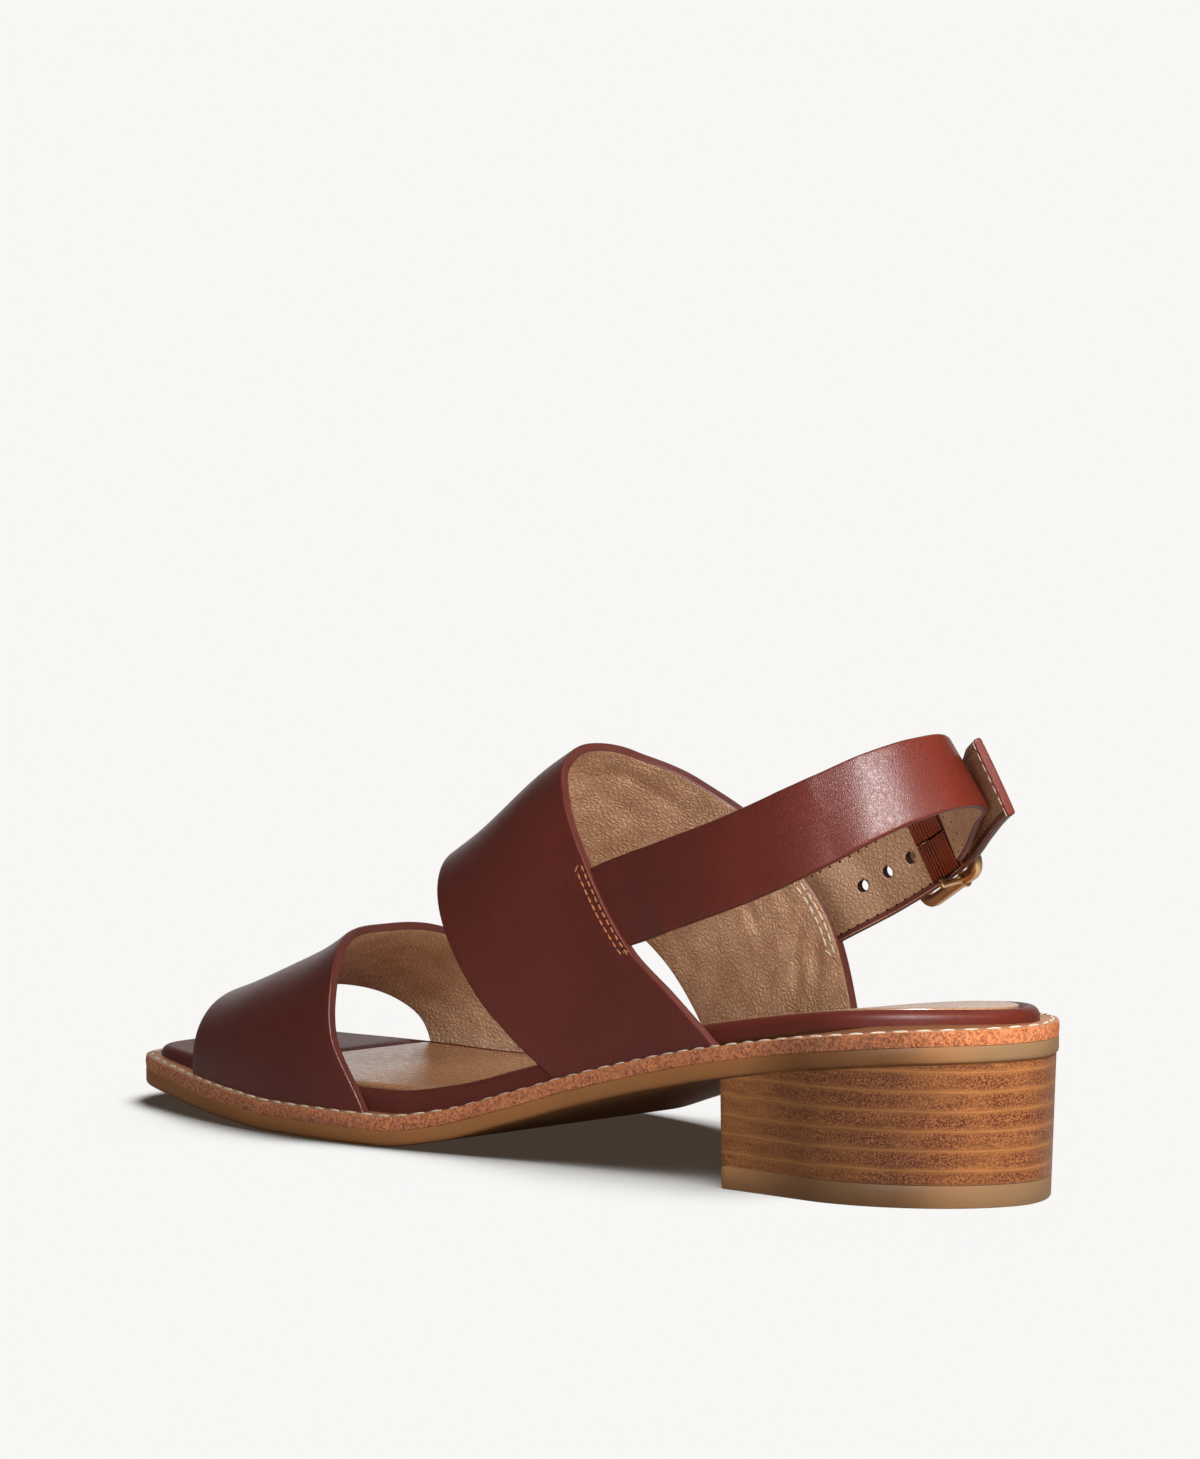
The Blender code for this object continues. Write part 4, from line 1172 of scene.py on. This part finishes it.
# Buckled strap: the tab sewn to the outer wing of the instep band, with a row of round punched holes.
# It passes through the buckle, and its square tail lies free behind the heel.
TAB_WIDTH = 16.5
HOLE_RADIUS = 1.25
HOLE_PITCH = 6.8
HOLE_COUNT = 4
RING_RADIUS = 1.8
DRILL_LENGTH = 8.0
TAB_SEAM_INSET = 1.5
TAB_SEAM_START, TAB_SEAM_END = 4.0, 3.0
TAIL_SEAM_END = 1.6
SLING_END_ROWS = (2.2, 4.6)
FACE_LIFT = 0.02
CROSS_SHARE, CROSS_STEPS = 0.43, 30
TAB_SEAM = Stitch(2.8, 2.4, 0.5, 0.35, 0.05)
TAB_NEEDLE = Stitch(2.5, 0.6, 0.5, 0.12, 0.0)
TAIL_SEAM = Stitch(2.3, 1.9, 0.5, 0.35, 0.08)
SLING_END_NEEDLE = Stitch(2.6, 0.55, 0.45, 0.12, 0.0)
loops, zone = strap_shell(tab_line, lambda at: TAB_WIDTH, TAB_TUCK)
zone[-len(edge_zones) - 1] = 1
# Painted shade: the buckled strap's lining is a darker copy of the tan lining.
shaded_tab_lining = leather("tab_lining_painted_shade", Hide(
    dark=(0.31, 0.172, 0.096), light=(0.39, 0.228, 0.133), valley=(0.20, 0.10, 0.05), pebble=1.0,
    depth=0.09, roughness=0.55, patch=9.0, valley_share=0.4, specular=0.25))
tab_looks = [upper_brown, painted_edge, shaded_tab_lining]
tab = piece("buckled_strap_leather", *loft(loops, zone, 0, WRAPPED_ROWS), tab_looks)
first_hole = buckle_at - RING_RADIUS
ats = np.linspace(first_hole, first_hole - (HOLE_COUNT - 1) * HOLE_PITCH - 0.01, 60)
middle = np.array([tab_line.point(at) for at in ats])
drills = lay("strap_holes", [(middle, [tab_line.directions(at)[1] for at in ats])],
             Stitch(HOLE_PITCH, 2 * HOLE_RADIUS, DRILL_LENGTH, 2 * HOLE_RADIUS, 0.0), needle_dark, bar=True)
cut = tab.modifiers.new("holes", "BOOLEAN")
cut.operation = "DIFFERENCE"
cut.solver = "EXACT"
cut.material_mode = "TRANSFER"
cut.object = drills
tab.data = bpy.data.meshes.new_from_object(tab.evaluated_get(bpy.context.evaluated_depsgraph_get()))
tab.modifiers.clear()
bpy.data.objects.remove(drills)
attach(tab, "root")


def strap_row(line, start, end, across, inside):
    """Line on a strap's face between two distances, across from its middle line, and its facing."""
    ats = np.linspace(start, end, 80)
    away = (STRAP_THICK / 2 + FACE_LIFT) * (-1 if inside else 1)
    middle = np.array([line.place(at, across, 0.0) for at in ats])
    out = np.array([line.directions(at)[2] for at in ats])
    shift, thin = tucked_in(middle, line, TAB_TUCK)
    return middle + out * (shift + away * thin)[:, None], out * (-1 if inside else 1)


def cross_row(line, at, inside):
    """Line across a strap's face, and its facing."""
    face = -1 if inside else 1
    away = (STRAP_THICK / 2 + FACE_LIFT) * face
    steps = np.linspace(-CROSS_SHARE, CROSS_SHARE, CROSS_STEPS) * TAB_WIDTH
    row = [line.place(at, across, away) for across in steps]
    return row, [line.directions(at)[2] * face] * CROSS_STEPS


tab_end = tab_line.reach[-1]
tab_edges = [TAB_WIDTH / 2 - TAB_SEAM_INSET, TAB_SEAM_INSET - TAB_WIDTH / 2]
inside_rows, outside_rows = ([strap_row(tab_line, TAB_SEAM_START, tab_end - TAB_SEAM_END, across, inside)
                              for across in tab_edges] for inside in (True, False))
sew("strap_edge_needle_holes", inside_rows, TAB_NEEDLE, needle_dark)
sew("strap_edge_stitches", outside_rows, TAB_SEAM, brown_thread, seed=11)
sew("tail_end_stitches", [cross_row(tab_line, tab_end - TAIL_SEAM_END, inside) for inside in (True, False)],
    TAIL_SEAM, cream_thread, seed=13)
sling_total = sling_line.reach[-1]
sew("sling_end_needle_holes", [cross_row(sling_line, sling_total - back, True) for back in SLING_END_ROWS],
    SLING_END_NEEDLE, needle_dark)

# Elastic: ribbed webbing folded round the buckle's bar and sewn to the end of the sling, with a slit
# along its middle where the prong's ring turns.
ELASTIC_WALL = 0.8
ELASTIC_HALF_HIGH = 8.2
ELASTIC_REACH = 6.7
ELASTIC_SLIT = 0.18
BAR_RADIUS = 0.8
ELASTIC_PINCH = [(-ELASTIC_REACH, 0.44), (-3.4, 0.5), (-1.7, 1.15)]
FOLD_TURN = 115
RIB = Stitch(0.72, 0.42, ELASTIC_HALF_HIGH - ELASTIC_SLIT - 0.1, 0.50, 0.0)


def on_buckle(x, y, z):
    """From the buckle's own millimetres, ahead to the instep, up and outwards, to heel-based ones."""
    ahead, up, out = tab_line.directions(buckle_at)
    x, y, z = np.broadcast_arrays(np.asarray(x, float), np.asarray(y, float), np.asarray(z, float))
    return tab_line.point(buckle_at) - x[..., None] * ahead + y[..., None] * up + z[..., None] * out


def elastic_web(name, dark, light):
    """Rust-brown webbing of tight threads."""
    look, tree, shader = material(name, roughness=0.8, specular=0.1)
    thread = ramp(tree, noise(tree, own_place(tree), 2600.0, 3.0), 0.35, 0.65)
    set_colour(tree, shader, blend(tree, thread, dark, light))
    set_bump(tree, shader, thread, 0.03)
    return look


def rounded(route, count, passes):
    """Route of a few points drawn as many, with its corners softened."""
    route = np.array(route, float)
    walk = walked(route)
    path = at_steps(route, walk, np.linspace(0, walk[-1], count))
    for _ in range(passes):
        path[1:-1] = (path[:-2] + 2 * path[1:-1] + path[2:]) / 4
    return path


fold = BAR_RADIUS + GAP + ELASTIC_WALL / 2
turns = np.radians(np.linspace(FOLD_TURN, -FOLD_TURN, 15))
route = ELASTIC_PINCH + [(fold * math.cos(a), fold * math.sin(a)) for a in turns]
path = rounded(route + [(x, -z) for x, z in ELASTIC_PINCH[::-1]], count=120, passes=4)
way = np.gradient(path, axis=0)
way /= np.linalg.norm(way, axis=1, keepdims=True)
outside = np.stack([-way[:, 1], way[:, 0]], 1)
outer_line = path + outside * (ELASTIC_WALL / 2 - 0.15)
inner_line = path - outside * (ELASTIC_WALL / 2 - 0.02)
section = np.concatenate([outer_line, inner_line[::-1]])
points, faces, zones, rib_lines = [], [], [], []
facing = [outside[i, 0] * (on_buckle(1, 0, 0) - on_buckle(0, 0, 0)) +
          outside[i, 1] * (on_buckle(0, 0, 1) - on_buckle(0, 0, 0)) for i in range(len(path))]
for low, high in ((-ELASTIC_HALF_HIGH, -ELASTIC_SLIT), (ELASTIC_SLIT, ELASTIC_HALF_HIGH)):
    loops = np.array([on_buckle(section[:, 0], y, section[:, 1] + BAR_DEPTH)
                      for y in np.linspace(low, high, 4)])
    more = loft(loops, [0] * len(section), len(points))
    points, faces, zones = points + more[0], faces + more[1], zones + more[2]
    rib_lines.append((on_buckle(outer_line[:, 0], (low + high) / 2, outer_line[:, 1] + BAR_DEPTH), facing))
web_dark = elastic_web("elastic_ground", (0.012, 0.002, 0.001), (0.025, 0.004, 0.002))
elastic = piece("elastic_webbing_fold", points, faces, zones, [web_dark], sharp=60.0)
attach(elastic, "root")
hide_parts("elastic")
web_rib = elastic_web("elastic_ribs", (0.075, 0.012, 0.004), (0.125, 0.021, 0.007))
sew("elastic_webbing_ribs", rib_lines, RIB, web_rib, bar=True)

# Buckle: a gold-plated frame with rounded corners outside the strap, its bar carried inside on two lugs,
# and a prong that is bent round the bar, passes through a hole and rests on the front of the frame.
FRAME_LONG, FRAME_HIGH, FRAME_SIDE, FRAME_THICK = 21.6, 21.3, 2.6, 2.0
FRAME_CORNER = 4.0
FRAME_AHEAD = 4.0
FRAME_LIFT = 2.15
FRAME_BEVEL = 0.5
LUG_SIZE = 1.5
HOOP_WIRE = 0.3
PRONG_RADIUS = 0.7
PRONG_LIFT = 2.4
PRONG_BEND = 1.4
EYE_RADIUS, EYE_WIRE = 1.15, 0.3
WIRE_SIDES = 12


def gold():
    """Plated metal: warm gold with faint clouds in its polish."""
    look, tree, shader = material("gold_metal_plated", roughness=0.2, metallic=1.0)
    cloud = cloudy(tree, 6.0, 0.6)
    set_colour(tree, shader, blend(tree, cloud["Tone"], (0.80, 0.49, 0.24), (0.88, 0.57, 0.31)))
    tree.links.new(ramp(tree, cloud["Specks"], 0.0, 1.0, 0.28, 0.38), shader.inputs["Roughness"])
    return look


gold_metal = gold()


def rounded_loop(long, high, corner):
    """Outline of a rectangle with round corners."""
    points = []
    for quarter, (side_x, side_y) in enumerate(((1, 1), (-1, 1), (-1, -1), (1, -1))):
        for turn in np.radians(90 * quarter + np.linspace(0, 90, 10)):
            points.append((side_x * (long / 2 - corner) + corner * math.cos(turn),
                           side_y * (high / 2 - corner) + corner * math.sin(turn)))
    return np.array(points)


def rod(route, radius):
    """Loops of a round wire along a route of points, with rounded ends."""
    route = np.asarray(route, float)
    way = np.gradient(route, axis=0)
    way /= np.linalg.norm(way, axis=1, keepdims=True)
    side = np.cross(way, tab_line.directions(buckle_at)[1])
    flat = np.linalg.norm(side, axis=1) < 0.3
    side[flat] = np.cross(way[flat], tab_line.directions(buckle_at)[2])
    side /= np.linalg.norm(side, axis=1, keepdims=True)
    other = np.cross(way, side)
    angles = np.linspace(0, 2 * math.pi, WIRE_SIDES, endpoint=False)
    radii = np.full(len(route), radius)
    radii[0] = radii[-1] = radius * 0.6
    return np.array([p + r * (np.outer(np.cos(angles), s) + np.outer(np.sin(angles), o))
                     for p, s, o, r in zip(route, side, other, radii)])


bevels = [(0.0, -1.0), (0.3, -0.3), (1.0, 0.0)]
low_side = [(FRAME_BEVEL * out, -FRAME_THICK / 2 - FRAME_BEVEL * lift) for out, lift in bevels]
low_side += [(FRAME_SIDE - inset, lift) for inset, lift in low_side[::-1]]
rails = low_side + [(inset, -lift) for inset, lift in low_side[::-1]]
rings = []
for inset, lift in rails:
    flat = rounded_loop(FRAME_LONG - 2 * inset, FRAME_HIGH - 2 * inset, max(FRAME_CORNER - 0.72 * inset, 0.5))
    rings.append(on_buckle(flat[:, 0] + FRAME_AHEAD, flat[:, 1], FRAME_LIFT + lift))
rings = np.array(rings)
points = [tuple(p) for p in rings.reshape(-1, 3)]
size = rings.shape[1]
faces = []
for i in range(len(rails)):
    for j in range(size):
        n, m = (j + 1) % size, (i + 1) % len(rails)
        faces.append((i * size + j, i * size + n, m * size + n, m * size + j))
reach = FRAME_HIGH / 2 - FRAME_SIDE / 2
steps = np.concatenate([[-reach - 0.6], np.linspace(-reach - 0.4, reach + 0.4, 9), [reach + 0.6]])
wires = [rod(on_buckle(0.0, steps, BAR_DEPTH), BAR_RADIUS)]
for sign in (-1, 1):
    steps = np.linspace(BAR_DEPTH - BAR_RADIUS, FRAME_LIFT - 0.4, 7)
    steps = np.concatenate([[BAR_DEPTH - BAR_RADIUS - 0.25], steps])
    wires.append(rod(on_buckle(0.0, sign * reach, steps), LUG_SIZE / 2))
    turns = np.linspace(0, 2 * math.pi, 25)
    across, lift = (FRAME_SIDE / 2 + HOOP_WIRE) * np.cos(turns), (FRAME_THICK / 2 + HOOP_WIRE) * np.sin(turns)
    wires.append(rod(on_buckle(0.0, sign * reach + across, FRAME_LIFT + lift), HOOP_WIRE))
for wire in wires:
    more = loft(wire, [0] * WIRE_SIDES, len(points))
    points, faces = points + more[0], faces + more[1]
buckle = piece("buckle_frame_gold", points, faces, [0] * len(faces), [gold_metal])
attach(buckle, "root")
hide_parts("buckle_frame")

rest = FRAME_LIFT + FRAME_THICK / 2 + GAP + PRONG_RADIUS
front = FRAME_AHEAD + FRAME_LONG / 2
behind = front - FRAME_SIDE - PRONG_RADIUS
path = rounded([(EYE_RADIUS, BAR_DEPTH), (RING_RADIUS, STRAP_THICK / 2),
                (RING_RADIUS + 0.3 * PRONG_BEND, PRONG_LIFT - 0.3 * PRONG_BEND),
                (RING_RADIUS + PRONG_BEND, PRONG_LIFT), (behind - PRONG_BEND, PRONG_LIFT + 0.2),
                (behind, rest), (front + GAP, rest)], count=60, passes=5)
points, faces, zones = loft(rod(on_buckle(path[:, 0], 0.0, path[:, 1]), PRONG_RADIUS), [0] * WIRE_SIDES)
turns = np.linspace(0, 2 * math.pi, 33)
eye = rod(on_buckle(EYE_RADIUS * np.cos(turns), 0.0, BAR_DEPTH + EYE_RADIUS * np.sin(turns)), EYE_WIRE)
more = loft(eye, [0] * WIRE_SIDES, len(points))
points, faces = points + more[0], faces + more[1]
prong = piece("buckle_prong_gold", points, faces, [0] * len(faces), [gold_metal])
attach(prong, "root")
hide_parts("buckle_prong")
